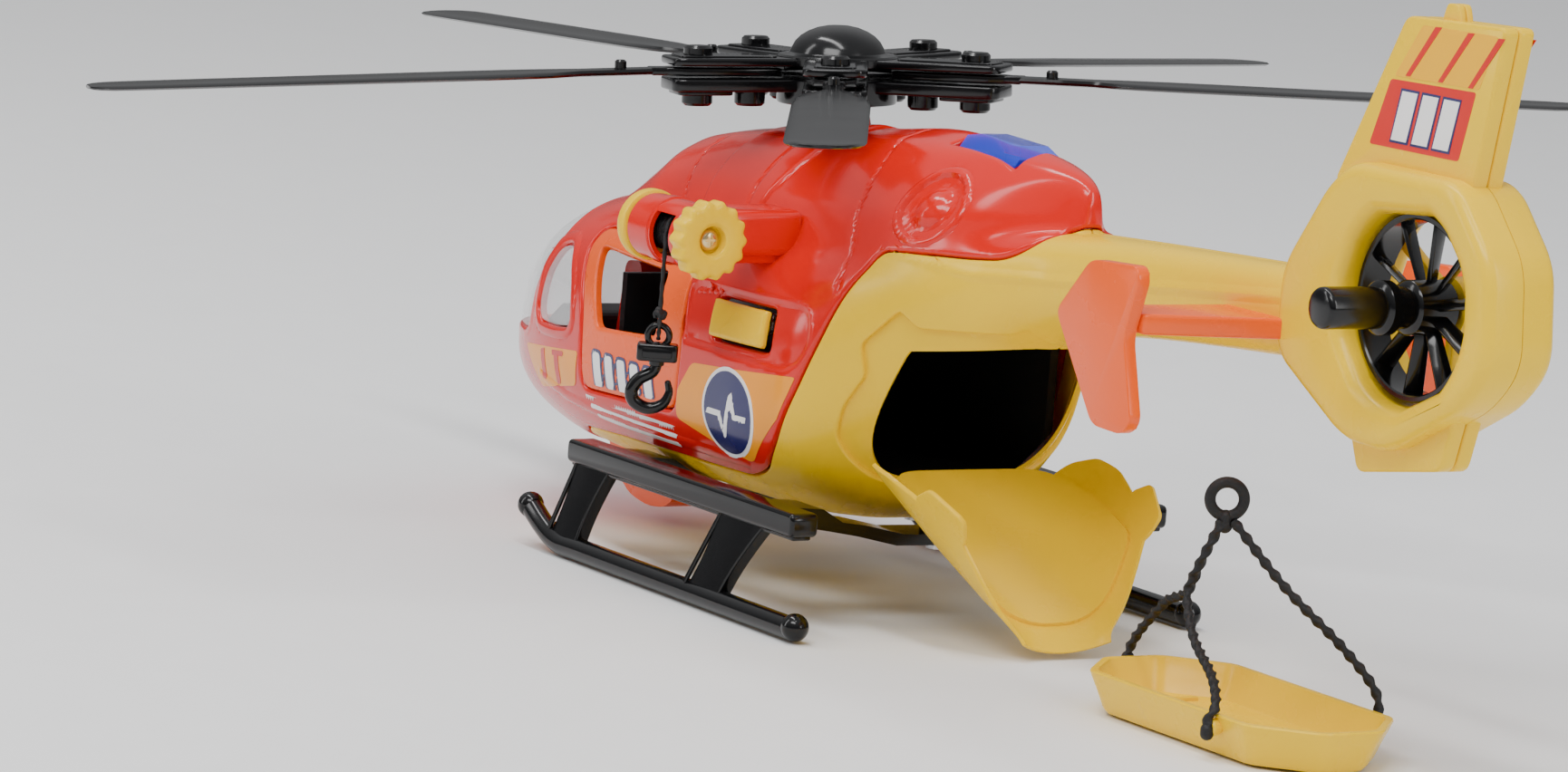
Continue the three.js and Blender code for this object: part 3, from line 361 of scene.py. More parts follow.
def soften(made, angle=35):
    made.data.shade_smooth()
    made.data.set_sharp_from_angle(angle=math.radians(angle))


def settle(made, body, replaces=()):
    if body:
        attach(made, body)
    if replaces:
        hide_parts(*replaces)
    return made


def piece(name, parts, material, body, replaces=(), angle=35):
    """One object from several (verts, faces) parts."""
    verts, faces, base = [], [], 0
    for part_verts, part_faces in parts:
        verts.append(np.asarray(part_verts, float))
        faces += [[int(i) + base for i in face] for face in part_faces]
        base += len(part_verts)
    made = object_of(name, np.concatenate(verts), faces, material)
    soften(made, angle)
    return settle(made, body, replaces)


def evaluated(made, *helpers):
    """What an object's modifiers make of it, as (verts, faces). The object and its helpers are removed."""
    final = made.evaluated_get(bpy.context.evaluated_depsgraph_get())
    mesh = final.to_mesh()
    verts = np.array([v.co[:] for v in mesh.vertices]) * 1000 - SHIFT
    faces = [list(p.vertices) for p in mesh.polygons]
    final.to_mesh_clear()
    for each in (made, *helpers):
        data = each.data
        bpy.data.objects.remove(each)
        bpy.data.meshes.remove(data)
    return verts, faces


def ease_edges(made, width, segments, angle):
    """Gives an object a bevel on the edges sharper than angle."""
    bevel = made.modifiers.new("eased edges", "BEVEL")
    bevel.width = width / 1000
    bevel.segments = segments
    bevel.limit_method = "ANGLE"
    bevel.angle_limit = math.radians(angle)
    return bevel


def eased(part, width, segments=3, angle=30):
    """The same part with its edges rounded."""
    made = object_of("easing", *part, RED)
    ease_edges(made, width, segments, angle)
    return evaluated(made)


def carved(part, tools):
    """The part with the tools cut away."""
    made = object_of("target", *part, RED)
    helpers = [object_of("tool", *tool, RED) for tool in tools]
    for helper in helpers:
        step = made.modifiers.new("cut", "BOOLEAN")
        step.operation = "DIFFERENCE"
        step.solver = "EXACT"
        step.object = helper
    return evaluated(made, *helpers)


def moved(part, matrix=None, shift=(0, 0, 0)):
    verts, faces = part
    verts = np.asarray(verts, float)
    if matrix is not None:
        verts = verts @ np.array(matrix.to_3x3()).T
    return verts + np.array(shift), faces


def mirrored(part):
    verts, faces = part
    return np.asarray(verts) * np.array([1, -1, 1]), [list(f)[::-1] for f in faces]


def on_side(parts, sign):
    """Parts drawn for the port side, mirrored when sign is that of starboard."""
    return parts if sign > 0 else [mirrored(part) for part in parts]


def prism(points, plane, low, high):
    """An outline in plane "xy", "xz" or "yz", made solid from low to high along the third axis."""
    points = np.asarray(points, float)
    third = ({0, 1, 2} - {"xyz".index(c) for c in plane}).pop()
    a, b = ("xyz".index(c) for c in plane)
    n = len(points)
    verts = np.zeros((2 * n, 3))
    verts[:, a], verts[:, b] = np.tile(points[:, 0], 2), np.tile(points[:, 1], 2)
    verts[:n, third], verts[n:, third] = low, high
    area = np.sum(points[:, 0] * np.roll(points[:, 1], -1) - np.roll(points[:, 0], -1) * points[:, 1])
    flip = (area > 0) == (plane != "xz")
    base = list(range(n))
    faces = [base[::-1], [i + n for i in base]] + [[i, (i + 1) % n, (i + 1) % n + n, i + n] for i in base]
    return verts, faces if flip else [f[::-1] for f in faces]


def block(x0, x1, y0, y1, z0, z1):
    return prism([(x0, y0), (x1, y0), (x1, y1), (x0, y1)], "xy", z0, z1)


def frame_of(direction):
    direction = Vector(direction).normalized()
    helper = Vector((0, 0, 1)) if abs(direction.z) < 0.9 else Vector((1, 0, 0))
    side = direction.cross(helper).normalized()
    return np.array(side), np.array(direction.cross(side)), np.array(direction)


def outward(verts, faces):
    """Turns a closed part's faces to point out."""
    volume = 0.0
    for face in faces:
        a = verts[face[0]]
        for i in range(1, len(face) - 1):
            volume += np.dot(a, np.cross(verts[face[i]], verts[face[i + 1]]))
    return verts, faces if volume > 0 else [f[::-1] for f in faces]


def lofted(rings, closed=False):
    """Rings of points joined into one part: capped at both ends, or the last joined to the first."""
    n, m = len(rings), len(rings[0])
    faces = [[r * m + k, r * m + (k + 1) % m, (r + 1) % n * m + (k + 1) % m, (r + 1) % n * m + k]
             for r in range(n if closed else n - 1) for k in range(m)]
    if not closed:
        faces += [list(range(m))[::-1], [(n - 1) * m + k for k in range(m)]]
    return outward(np.concatenate(rings), faces)


def turned(profile, centre=(0, 0, 0), axis=(0, 0, 1), steps=48):
    """A profile of (radius, along) turned about an axis through the centre."""
    side, up, along_axis = frame_of(axis)
    turns = np.arange(steps) * TAU / steps
    spokes = np.cos(turns)[:, None] * side + np.sin(turns)[:, None] * up
    rings = [np.array(centre) + along_axis * height + max(radius, 1e-4) * spokes for radius, height in profile]
    closed = profile[0][0] > 1e-3 and tuple(profile[0]) == tuple(profile[-1])
    return lofted(rings[:-1] if closed else rings, closed)


def smooth_path(points, count):
    """Points along a Catmull-Rom curve, evenly spaced."""
    points = np.array(points, float)
    padded = np.concatenate([[2 * points[0] - points[1]], points, [2 * points[-1] - points[-2]]])
    dense = []
    for i in range(1, len(padded) - 2):
        a, b, c, d = padded[i - 1:i + 3]
        for t in np.linspace(0, 1, 24, endpoint=False):
            dense.append(0.5 * (2 * b + (c - a) * t + (2 * a - 5 * b + 4 * c - d) * t * t +
                                (3 * b - a - 3 * c + d) * t ** 3))
    dense.append(padded[-2])
    dense = np.array(dense)
    length = np.concatenate([[0], np.cumsum(np.linalg.norm(np.diff(dense, axis=0), axis=1))])
    at = np.linspace(0, length[-1], count)
    return np.stack([np.interp(at, length, dense[:, k]) for k in range(3)], 1), length[-1]


def swept(path, radii, sides=16, twist=None, flat=1.0):
    """A tube along path. radii is one number or one for each point; twist turns a flattened section."""
    path = np.asarray(path, float)
    count = len(path)
    radii = np.broadcast_to(radii, count)
    tangents = np.gradient(path, axis=0)
    tangents /= np.linalg.norm(tangents, axis=1)[:, None]
    side, _, _ = frame_of(tangents[0])
    verts = []
    for i in range(count):
        side = side - tangents[i] * (side @ tangents[i])
        side /= np.linalg.norm(side)
        up = np.cross(tangents[i], side)
        turns = np.arange(sides) * TAU / sides
        a, b = radii[i] * np.cos(turns), radii[i] * flat * np.sin(turns)
        if twist is not None:
            c, s = math.cos(twist[i]), math.sin(twist[i])
            a, b = a * c - b * s, a * s + b * c
        verts.append(path[i] + a[:, None] * side + b[:, None] * up)
    return lofted(verts)


def capsule(path, radius, sides=20, bulge=1.0):
    """A round bar with domed ends."""
    path = np.asarray(path, float)
    steps = [1.0, 0.95, 0.8, 0.6, 0.35, 0.12]
    first, last = path[0] - path[1], path[-1] - path[-2]
    first, last = first / np.linalg.norm(first), last / np.linalg.norm(last)
    head = [path[0] + first * radius * s * bulge for s in steps]
    tail = [path[-1] + last * radius * s * bulge for s in steps[::-1]]
    sizes = [radius * math.sqrt(max(1 - s * s, 0.0006)) for s in steps]
    radii = sizes + [radius] * len(path) + sizes[::-1]
    return swept(np.concatenate([head, path, tail]), radii, sides)


def rope(points, radius, pitch=2.9, flat=0.62, step=0.32):
    """A twisted two-strand cord: a flattened section that turns as it goes along."""
    _, length = smooth_path(points, 8)
    count = max(int(length / step), 8)
    path, _ = smooth_path(points, count)
    twist = np.linspace(0, length / pitch * math.pi, count)
    return swept(path, radius, 12, twist, flat)


# ---- body form ----
NOSE_X, HALF_WIDTH, WIDEST_X, NOSE_POWER = 104.0, 38.5, 10.0, 2.2
UPPER_POWER, LOWER_POWER = 2.9, 2.5
TOP_LINE = [(-190, 94), (-132, 91), (-108, 89.5), (-90, 88.5), (-75, 87), (-60, 84.5), (-30, 82), (0, 81),
            (20, 80), (40, 78.5), (60, 75), (74, 70.5), (85, 64), (92, 57.5), (99, 47.5), (104, 39)]
KEEL_LINE = [(-190, 76), (-132, 71.3), (-110, 67.5), (-99, 63), (-90, 52), (-75, 36.5), (-62, 27.5),
             (-48, 19), (-30, 17), (30, 16.5), (52, 17), (74, 19.5), (92, 25), (99, 29.5), (104, 35)]
WAIST_LINE = [(-190, 85), (-132, 81), (-101, 77), (-75, 62), (-60, 51), (-30, 44), (60, 42), (104, 37)]
TAPER = [(-190, 7.5), (-132, 9.5), (-110, 12), (-99, 15), (-90, 18.5), (-75, 25), (-60, 32), (-48, 36),
         (-30, 38.2), (WIDEST_X, HALF_WIDTH)]
# Cowling stations: x, ridge height, fold half width and height, base half width.
COWL = np.array([
    (68, 69, 5, 66, 8), (60, 77, 8, 74, 12), (52, 83, 12, 79, 18), (42, 89, 14, 84.5, 21),
    (34, 92.5, 15.5, 88, 22.5), (10, 96.5, 17, 90.5, 25), (-30, 101.5, 18, 92, 26.5),
    (-58, 104.5, 17.5, 92.5, 25), (-78, 104.5, 13.5, 94.5, 21), (-90, 103.3, 9, 97, 15),
    (-101, 101, 3.4, 99.3, 7.5), (-106.5, 98, 1.6, 97, 3), (-107.4, 84, 0.8, 83, 2)])[::-1]


def along(keys, x):
    """Smooth interpolation through [x, value] keys that never overshoots them."""
    keys = np.array(keys, float)
    at, value = keys[:, 0], keys[:, 1]
    rise = np.diff(value) / np.diff(at)
    slope = np.zeros(len(at))
    slope[0], slope[-1] = rise[0], rise[-1]
    left, right = rise[:-1], rise[1:]
    same = left * right > 0
    slope[1:-1][same] = (2 * left * right)[same] / (left + right)[same]
    x = np.clip(x, at[0], at[-1])
    i = np.clip(np.searchsorted(at, x, side="right") - 1, 0, len(at) - 2)
    span = at[i + 1] - at[i]
    t = (x - at[i]) / span
    return (value[i] * (2 * t ** 3 - 3 * t ** 2 + 1) + slope[i] * span * (t ** 3 - 2 * t ** 2 + t) +
            value[i + 1] * (3 * t ** 2 - 2 * t ** 3) + slope[i + 1] * span * (t ** 3 - t ** 2))


def half_width(x):
    reach = np.clip((x - WIDEST_X) / (NOSE_X - WIDEST_X), 0, 1)
    return np.where(x > WIDEST_X, HALF_WIDTH * (1 - reach ** NOSE_POWER) ** (1 / NOSE_POWER), along(TAPER, x))


def cowl_reach(x, waist, c, s):
    """Distance from the waist's middle to the cowling's skin, for directions (c, s)."""
    ridge, fold_y, fold_z, base_y = (along(COWL[:, [0, k]], x) for k in range(1, 5))
    base = np.minimum(70, fold_z - 6)
    corners = [(0, ridge), (fold_y * 0.55, ridge - (ridge - fold_z) * 0.25), (fold_y, fold_z),
               (fold_y + (base_y - fold_y) * 0.62, fold_z - (fold_z - base) * 0.26),
               (base_y, fold_z - (fold_z - base) * 0.58), (base_y, waist)]
    best = np.zeros(len(c))
    for (ya, za), (yb, zb) in zip(corners, corners[1:]):
        za, zb = za - waist, zb - waist
        across = np.abs(c) * (zb - za) - s * (yb - ya)
        reach = (ya * (zb - za) - za * (yb - ya)) / np.where(np.abs(across) < 1e-9, 1e-9, across)
        y, z = reach * np.abs(c), reach * s
        hit = (reach > 0) & (y >= min(ya, yb) - 1e-6) & (y <= max(ya, yb) + 1e-6)
        hit &= (z >= min(za, zb) - 1e-6) & (z <= max(za, zb) + 1e-6)
        best = np.where(hit, np.maximum(best, reach), best)
    return best


FOLD_BLUR, COWL_BLEND = [0.08, 0.24, 0.36, 0.24, 0.08], 3.0


def soft_max(a, b, blend):
    return np.maximum(a, b) + np.maximum(blend - np.abs(a - b), 0) ** 2 / (4 * blend)


def body_skin():
    """The whole outer skin, cowling included, as a fine grid of triangles."""
    nose = NOSE_X - np.array([0.02, 0.08, 0.2, 0.4, 0.7, 1.1, 1.7, 2.4, 3.2, 4.2, 5.2])
    stations = np.concatenate([nose, np.arange(97.7, -106.2, -1.0),
                               np.arange(-106.2, -109, -0.3), np.arange(-109, -191, -1.5)])
    ring = 224
    turns = -math.pi / 2 + np.arange(ring) * TAU / ring
    c, s = np.cos(turns), np.sin(turns)
    power = np.where(s > 0, UPPER_POWER, LOWER_POWER)
    reach = np.zeros((len(stations), ring))
    waists = along(WAIST_LINE, stations)
    for i, x in enumerate(stations):
        waist = float(waists[i])
        wide = max(float(half_width(np.array(x))), 0.05)
        tall = np.where(s > 0, float(along(TOP_LINE, x)) - waist, waist - float(along(KEEL_LINE, x)))
        hull = (np.abs(c / wide) ** power + np.abs(s / tall) ** power) ** (-1 / power)
        if COWL[0, 0] <= x <= COWL[-1, 0]:
            top = cowl_reach(x, waist, c, s)
            wrapped = np.concatenate([top[-2:], top, top[:2]])
            hull = soft_max(hull, np.convolve(wrapped, FOLD_BLUR, "same")[2:-2], COWL_BLEND)
        reach[i] = hull
    body = slice(12, np.searchsorted(-stations, 105.5))
    for _ in range(2):
        inner = reach[body]
        reach[body][1:-1] = (inner[:-2] + 2 * inner[1:-1] + inner[2:]) / 4
    verts = np.stack([np.repeat(stations, ring), (reach * c).ravel(),
                      (waists[:, None] + reach * s).ravel()], 1)
    rows, k = np.arange(len(stations) - 1)[:, None] * ring, np.arange(ring)
    a, b = (rows + k).ravel(), (rows + (k + 1) % ring).ravel()
    tris = np.concatenate([np.stack([a, b, b + ring], 1), np.stack([a, b + ring, a + ring], 1)])
    tip = np.array([[NOSE_X, 0, 37.0]])
    cap = np.stack([np.full(ring, len(verts)), (k + 1) % ring, k], 1)
    verts, tris = np.concatenate([verts, tip]), np.concatenate([tris, cap])
    faces = np.cross(verts[tris[:, 1]] - verts[tris[:, 0]], verts[tris[:, 2]] - verts[tris[:, 0]])
    if (faces[:, Y] * verts[tris].mean(1)[:, Y]).sum() < 0:
        tris = tris[:, ::-1]
    return verts, tris


# ---- outlines of the body's pieces, seen from the side ----
GAP, CAP_GAP = 0.35, 0.85
ROTOR_X, MAST_Z = -4.0, 105.0
LEAN = Matrix.Rotation(math.radians(-2), 3, "X") @ Matrix.Rotation(math.radians(2.5), 3, "Y")
RED_EDGE = [(58, 8), (55, 20.5), (44, 24), (24, 25.2), (-33, 26), (-40, 28.5), (-46, 36), (-52, 48), (-57, 60),
            (-61, 72), (-64.5, 79.5), (-70, 80.6), (-88, 81.6), (-97, 82.6), (-102, 85.5), (-105, 89.8),
            (-109, 91.3), (-125, 91.3), (-125, 125), (125, 125), (125, 8)]
GATE_EDGE = [(-61.5, 10), (-62.6, 30.5), (-77, 60), (-98.5, 62.9), (-112, 60), (-112, 10)]
GATE_LIP = [(-62, 34.5), (-61.2, 39), (-64, 46.2), (-73, 59.6), (-76.6, 63.6), (-98.4, 66.2), (-102.4, 68.2),
            (-102.4, 40), (-64, 33.5)]
GATE_GRIP = [(-68.7, 53.6), (-67.4, 60), (-74.4, 67.8), (-79, 64.8), (-80, 60), (-72, 54)]
REBATE = [(-61.6, 29), (-60.8, 39), (-63.6, 46.4), (-68.2, 53.4), (-66.8, 60.2), (-74.6, 68.4), (-79.4, 65.2),
          (-98.6, 66.6), (-103, 68.6), (-103, 40)]
GATE_PIECE = [(-63.4, 10), (-63.4, 30.6), (-78.2, 59.7), (-98.3, 61.4), (-112, 58.4), (-112, 10)]
DOOR_EDGE = [(34.5, 34.2), (36.2, 52), (42.5, 66), (40, 70.5), (18, 71.5), (-7, 68), (-9.5, 50), (-8.5, 36)]
DOOR_WINDOW = [(28.5, 49), (36.5, 66.5), (3, 65.5), (2, 51)]
QUARTER_EDGE = [(41.5, 47), (44, 56), (51, 65), (58.5, 63.5), (62.5, 57), (63.5, 48.5), (61, 45.5), (50, 45.8)]
SCREEN_EDGE = [(70.5, 42), (69, 50), (66, 57), (60, 66), (60, 90), (115, 90), (115, 40.5)]
BUTTON_EDGE = [(-20.5, 54), (-20, 63.5), (-42, 63.7), (-42.5, 54.2)]

red_area = shape(RED_EDGE, 3)
door_area = shape(DOOR_EDGE, 4)
door_window = shape(DOOR_WINDOW, 2)
quarter_area = shape(QUARTER_EDGE, 3)
screen_area = shape(SCREEN_EDGE, 5)
button_area = both(shape(BUTTON_EDGE, 1.5), beyond(Y, 20))
gate_area = shape(GATE_EDGE)
over_lens = both(inside(rectangle(-87.2, -62.5, 7), (X, Y)), beyond(Z, 90))
over_battery = both(inside(rectangle(-44.3, -3.7, 8.3), (X, Y)), short_of(Z, 24))


def over_mast(p):
    rise = p[:, Z] - MAST_Z
    return np.minimum(4.6 - np.hypot(p[:, X] - ROTOR_X - rise * 0.0437, p[:, Y] - rise * 0.0349), p[:, Z] - 80)


def details(verts, tris):
    """Panel lines, recesses and bumps that the mould has on both sides."""
    groove = [(-0.55, 0.0), (-0.28, -0.22), (-0.1, -0.32), (0.0, -0.32)]
    relief = []
    # arched fairing over the front of the mast, and its middle line
    front = lambda p: 8 + (p[:, Z] - 84) * 0.1 - p[:, X]
    rear = lambda p: p[:, X] + 19 + (p[:, Z] - 88) * 0.36
    relief.append((both(front, rear, beyond(Z, 78)), [(-0.9, 0.0), (-0.3, 0.12), (0.3, 0.65), (0.9, 0.8)]))
    relief.append((both(near_line([(-12.4, 79.5), (-11.2, 93.5), (-11, 99)]), beyond(Z, 79)), groove))
    # long panel line down the cowling, and one across its flank
    relief.append((near_line([(-45, 104), (-49, 92.4), (-51.6, 87), (-56, 78.5), (-58.5, 70)]), groove))
    relief.append((near_line([(24, 92), (20, 84), (16, 77)]), groove))
    # round air intake: a rim, a moat and a boss
    intake = lambda p: -np.where(p[:, Z] > 70, np.hypot((p[:, X] + 73), (p[:, Z] - 90) * 1.15), 99)
    relief.append((intake, [(-9.6, 0), (-9.0, 0.55), (-8.2, 0.6), (-7.5, -0.35), (-5.6, -0.75), (-4.4, -0.5),
                            (-3.2, 0.5), (-1.6, 1.25), (-0.3, 1.45)]))
    # shallow recess round the push-button, with a row of dots above it
    recess = shape([(-8.5, 52), (-8, 65.5), (-53.5, 66), (-55, 57), (-50.5, 51)], 4)
    relief.append((recess, [(-0.2, 0), (0.35, -0.3), (1.0, -0.75), (1.4, -0.8)]))
    for at in (-11.5 - 2.1 * k for k in range(5)):
        dot = lambda p, x=at: -np.hypot(p[:, X] - x, p[:, Z] - 63.2 - (-11.5 - x) * 0.14)
        relief.append((dot, [(-0.75, 0), (-0.45, 0.35), (-0.1, 0.45)]))
    # raised frame round the cabin windows and a sill under the door
    for area, rise in ((quarter_area, 0.38), (screen_area, 0.1)):
        relief.append((area, [(-2.6, 0), (-2.1, 0.8 * rise), (-1.2, rise), (-0.2, 0.8 * rise)]))
    relief.append((near_line([(60, 33.5), (44, 31), (20, 29.6), (-34, 29.4)]),
                   [(-1.3, 0), (-0.7, 0.28), (0, 0.35)]))
    # shoulder line along the tail boom
    boom = near_line([(-66, 80.2), (-90, 78.5), (-110, 80), (-150, 84.4), (-186, 88)])
    relief.append((both(boom, short_of(X, -62)), [(-1.6, 0), (-0.7, 0.2), (0, 0.34)]))
    for field, profile in relief:
        verts, tris = emboss(verts, tris, field, profile)
    return verts, tris


SKIN = details(*body_skin())

red_field = both(red_area, outside(door_area), outside(quarter_area), outside(screen_area),
                 outside(button_area), outside(over_lens), outside(over_mast))
piece("upper_shell", [trimmed(*SKIN, red_field, 2.2, 0.9, 0.35)], RED, FUSELAGE,
      ["red_upper_shell"])
yellow_field = both(grown(outside(red_area), -GAP), outside(both(gate_area, short_of(Z, 66))),
                    outside(over_battery), beyond(X, -190))


# ---- windows, doors and button ----
piece("windscreen_pane", [trimmed(*SKIN, grown(screen_area, -GAP), 1.4, 0.35, -0.1)], CLEAR, FUSELAGE,
      ["windscreen"])
for sign, side in SIDES:
    glass = side_of(grown(quarter_area, -GAP), sign)
    piece(f"quarter_pane_{side}", [trimmed(*SKIN, glass, 1.4, 0.35, -0.15)], CLEAR, FUSELAGE,
          [f"quarter_window_{side}"])
    leaf = side_of(both(grown(door_area, -GAP), outside(door_window)), sign)
    piece(f"door_{side}", [trimmed(*SKIN, leaf, 1.8, 0.6, 0.1)], ORANGE, f"{side}_door",
          [f"{side}_door"])
cap = both(grown(button_area, -CAP_GAP), beyond(Y, 20))
stem = turned([(3.4, 31.7), (3.4, 35.5)], (-31.2, 0, 58.8), (0, 1, 0))
piece("button_cap", [trimmed(*SKIN, cap, 1.5, 0.9, 2.2), stem], YELLOW, "push_button",
      ["push_button"])


# ---- tail: fan shroud and fins ----
SHROUD = [(-184, 77), (-184, 94), (-197, 112.5), (-204, 117.5), (-237, 117.5), (-250, 103.5), (-252, 84),
          (-245, 75.5), (-222, 63), (-208, 63.5)]
FIN = [(-193, 112), (-211.5, 146.5), (-242.5, 147.5), (-236, 112)]
VENTRAL = [(-203, 70), (-208.5, 57), (-234.5, 61.5), (-238, 74)]


def shroud_half():
    """Port half of the fan shroud: rounded outer edge and a bell-mouthed bore."""
    outline = rounded(SHROUD, 5, 8)
    centre = np.array([FAN_X, FAN_Z])
    turns = np.arctan2(outline[:, 1] - FAN_Z, outline[:, 0] - FAN_X)
    spokes = np.stack([np.cos(turns), np.sin(turns)], 1)
    rows = []
    for inset, y in [(0, 0.1), (0, 5.9), (0.25, 7.0), (0.9, 7.9), (1.9, 8.4), (3.0, 8.5)]:
        rows.append((outline - spokes * inset, y))
    for radius, y in [(22.6, 8.5), (21.3, 8.3), (20.3, 7.6), (19.7, 6.6), (19.5, 5.4), (19.5, 0.1)]:
        rows.append((centre + spokes * radius, y))
    return lofted([np.stack([ring[:, 0], np.full(len(ring), y), ring[:, 1]], 1) for ring, y in rows], True)


def tail_parts(spider):
    fin = eased(prism(rounded(FIN, 2), "xz", 0.1, 3.6), 0.9, 3)
    ventral = eased(prism(rounded(VENTRAL, 2), "xz", 0.1, 3.6), 0.9, 3)
    nub = eased(prism(rounded([(-226, 146), (-225.4, 148.2), (-224.6, 150), (-221.4, 150), (-220.6, 148.2),
                               (-220, 146)], 0.8), "xz", 0.1, 1.6), 0.5, 3)
    parts = [shroud_half(), fin, ventral, nub]
    if spider:
        parts.append(turned([(1.8, 3.6), (6, 3.6), (6, 7.4), (5.5, 7.9), (1.8, 7.9), (1.8, 3.6)],
                            (FAN_X, 0, FAN_Z), (0, 1, 0)))
        for degrees in (30, 150, 270):
            turn = Matrix.Rotation(math.radians(-degrees), 3, "Y")
            arm = eased(block(3, 20.5, 4.8, 7.2, -1.3, 1.3), 0.5, 2)
            parts.append(moved(arm, turn, (FAN_X, 0, FAN_Z)))
    return parts


rebate_area = both(shape(REBATE, 1.2), short_of(Z, 70))
for sign, side in SIDES:
    half = both(yellow_field, beyond(Y, 0.1) if sign > 0 else short_of(Y, -0.1))
    skin = trimmed(*SKIN, both(half, outside(rebate_area)), 2.0, 0.45)
    seat = trimmed(*SKIN, both(half, grown(rebate_area, 0.4)), 0.8, 0.0, -1.15)
    tail = on_side(tail_parts(sign < 0), sign)
    piece(f"hull_{side}", [skin, seat, *tail], YELLOW, FUSELAGE, [f"yellow_hull_{side}"])


# ---- tail fan ----
def fan_parts():
    at = (FAN_X, 0, FAN_Z)
    y_axis = (0, 1, 0)
    rim = turned([(16.9, -2.2), (18.3, -2.2), (18.3, 4.3), (18.0, 4.6), (17.2, 4.6), (16.9, 4.3), (16.9, -2.2)],
                 at, y_axis, 72)
    knob = turned([(0, -2.8), (5.0, -2.8), (5.4, -2.4), (5.4, 6.0), (5.0, 6.5), (4.1, 6.8), (4.0, 10.0),
                   (4.3, 10.2), (5.0, 10.4), (5.3, 10.7), (5.3, 12.7), (4.9, 13.1), (4.1, 13.4), (4.1, 25.6),
                   (4.0, 26.2), (3.7, 26.6), (3.2, 26.8), (0, 26.8)], at, y_axis, 40)
    parts = [rim, knob]
    for k in range(10):
        rows = []
        for r, pitch, chord in [(4.6, 0.55, 2.9), (8, 0.5, 3.1), (12, 0.45, 3.4), (17.3, 0.4, 3.8)]:
            c, s = math.cos(pitch), math.sin(pitch)
            rows.append([])
            for a, b in [(-0.5, -0.42), (0.5, -0.3), (0.5, 0.3), (-0.5, 0.42)]:
                u, v = a * chord, b * 1.7
                rows[-1].append((r, 1.2 + u * c - v * s, u * s + v * c))
        paddle = eased(lofted(rows), 0.22, 2, 40)
        parts.append(moved(paddle, Matrix.Rotation(k * TAU / 10 + 0.2, 3, "Y"), at))
    return parts


piece("fan_wheel", fan_parts(), BLACK, "tail_fan", ["tail_fan"])


# ---- stabilizer and endplates ----
bar = [(-167, 36.5), (-180, 36.5), (-187, 8), (-187, -8), (-180, -36.5), (-167, -36.5)]
piece("stabilizer_bar", [eased(prism(rounded(bar, 1), "xy", 79.6, 83.8), 1.1, 4)], ORANGE, FUSELAGE,
      ["stabilizer"])
plate = [(-164.5, 92.4), (-180.4, 93.3), (-181.6, 90.5), (-177.9, 78.8), (-182.5, 62.7), (-179.4, 59.9),
         (-169.3, 60.2), (-153.8, 80.7)]
endplate = eased(prism(rounded(plate, 2.4, 7), "xz", 36.85, 39.65), 0.7, 3)
for sign, side in SIDES:
    piece(f"endplate_{side}_fin", on_side([endplate], sign), ORANGE, FUSELAGE,
          [f"endplate_{side}"])


# ---- main rotor ----
PHASE = math.radians(147.3)
DROOP = [1.2, 0, 2.4, -0.9, 1.7]


def leaned(part):
    """The part, drawn upright about the Z axis, moved to the mast that leans forward and a little to port."""
    return moved(moved(part, None, (0, 0, -MAST_Z)), LEAN, (ROTOR_X, 0, MAST_Z))


def round_rotor(parts, k):
    turn = Matrix.Rotation(PHASE + k * TAU / 5, 3, "Z")
    return [leaned(moved(part, turn)) for part in parts]


def stud(r, low, high, radius, top=True):
    ease = radius * 0.18
    ends = [(0, low), (radius, low), (radius, high - ease), (radius - ease, high), (0, high)]
    if not top:
        ends = [(0, low), (radius - ease, low), (radius, low + ease), (radius, high), (0, high)]
    return turned(ends, (r, 0, 0), steps=24)


lower, upper = [], []
arm_outline = rectangle(5, 39, 7, 3)
for k in range(5):
    arm = eased(prism(arm_outline, "xy", 106.8, 109.6), 0.5)
    boss = eased(prism(rectangle(25, 37.4, 5.4, 2), "xy", 105.9, 107), 0.3, 2)
    lower += round_rotor([arm, boss, stud(20, 103.4, 107, 3.4, False), stud(32, 103.4, 107, 3.4, False)], k)
    arm = eased(prism(arm_outline, "xy", 112.4, 114.2), 0.5)
    pad = eased(prism(rectangle(15, 37.2, 4.6, 1.6), "xy", 114, 114.6), 0.25, 2)
    upper += round_rotor([arm, pad, stud(32, 114, 116.6, 3.2)], k)
lower.append(turned([(2.75, 103.9), (12.6, 103.9), (13.1, 104.1), (13.3, 104.6), (13.3, 109.2), (12.9, 109.6),
                     (2.75, 109.6), (2.75, 103.9)], steps=72))
dome = [(0, 112.4), (13.2, 112.4), (13.4, 112.7), (13.4, 114.3), (13.0, 114.7), (11.2, 114.9), (10.6, 115.2),
        (10.2, 116.2), (9.4, 117.6), (8.2, 118.8), (6.6, 119.8), (4.6, 120.6), (2.4, 121.05), (0, 121.2)]
upper.append(turned(dome, steps=72))
lower[-1], upper[-1] = leaned(lower[-1]), leaned(upper[-1])
piece("rotor_hub_lower", lower, BLACK, "rotor", ["hub_lower"])
piece("rotor_hub_upper", upper, BLACK, "rotor", ["hub_upper"])


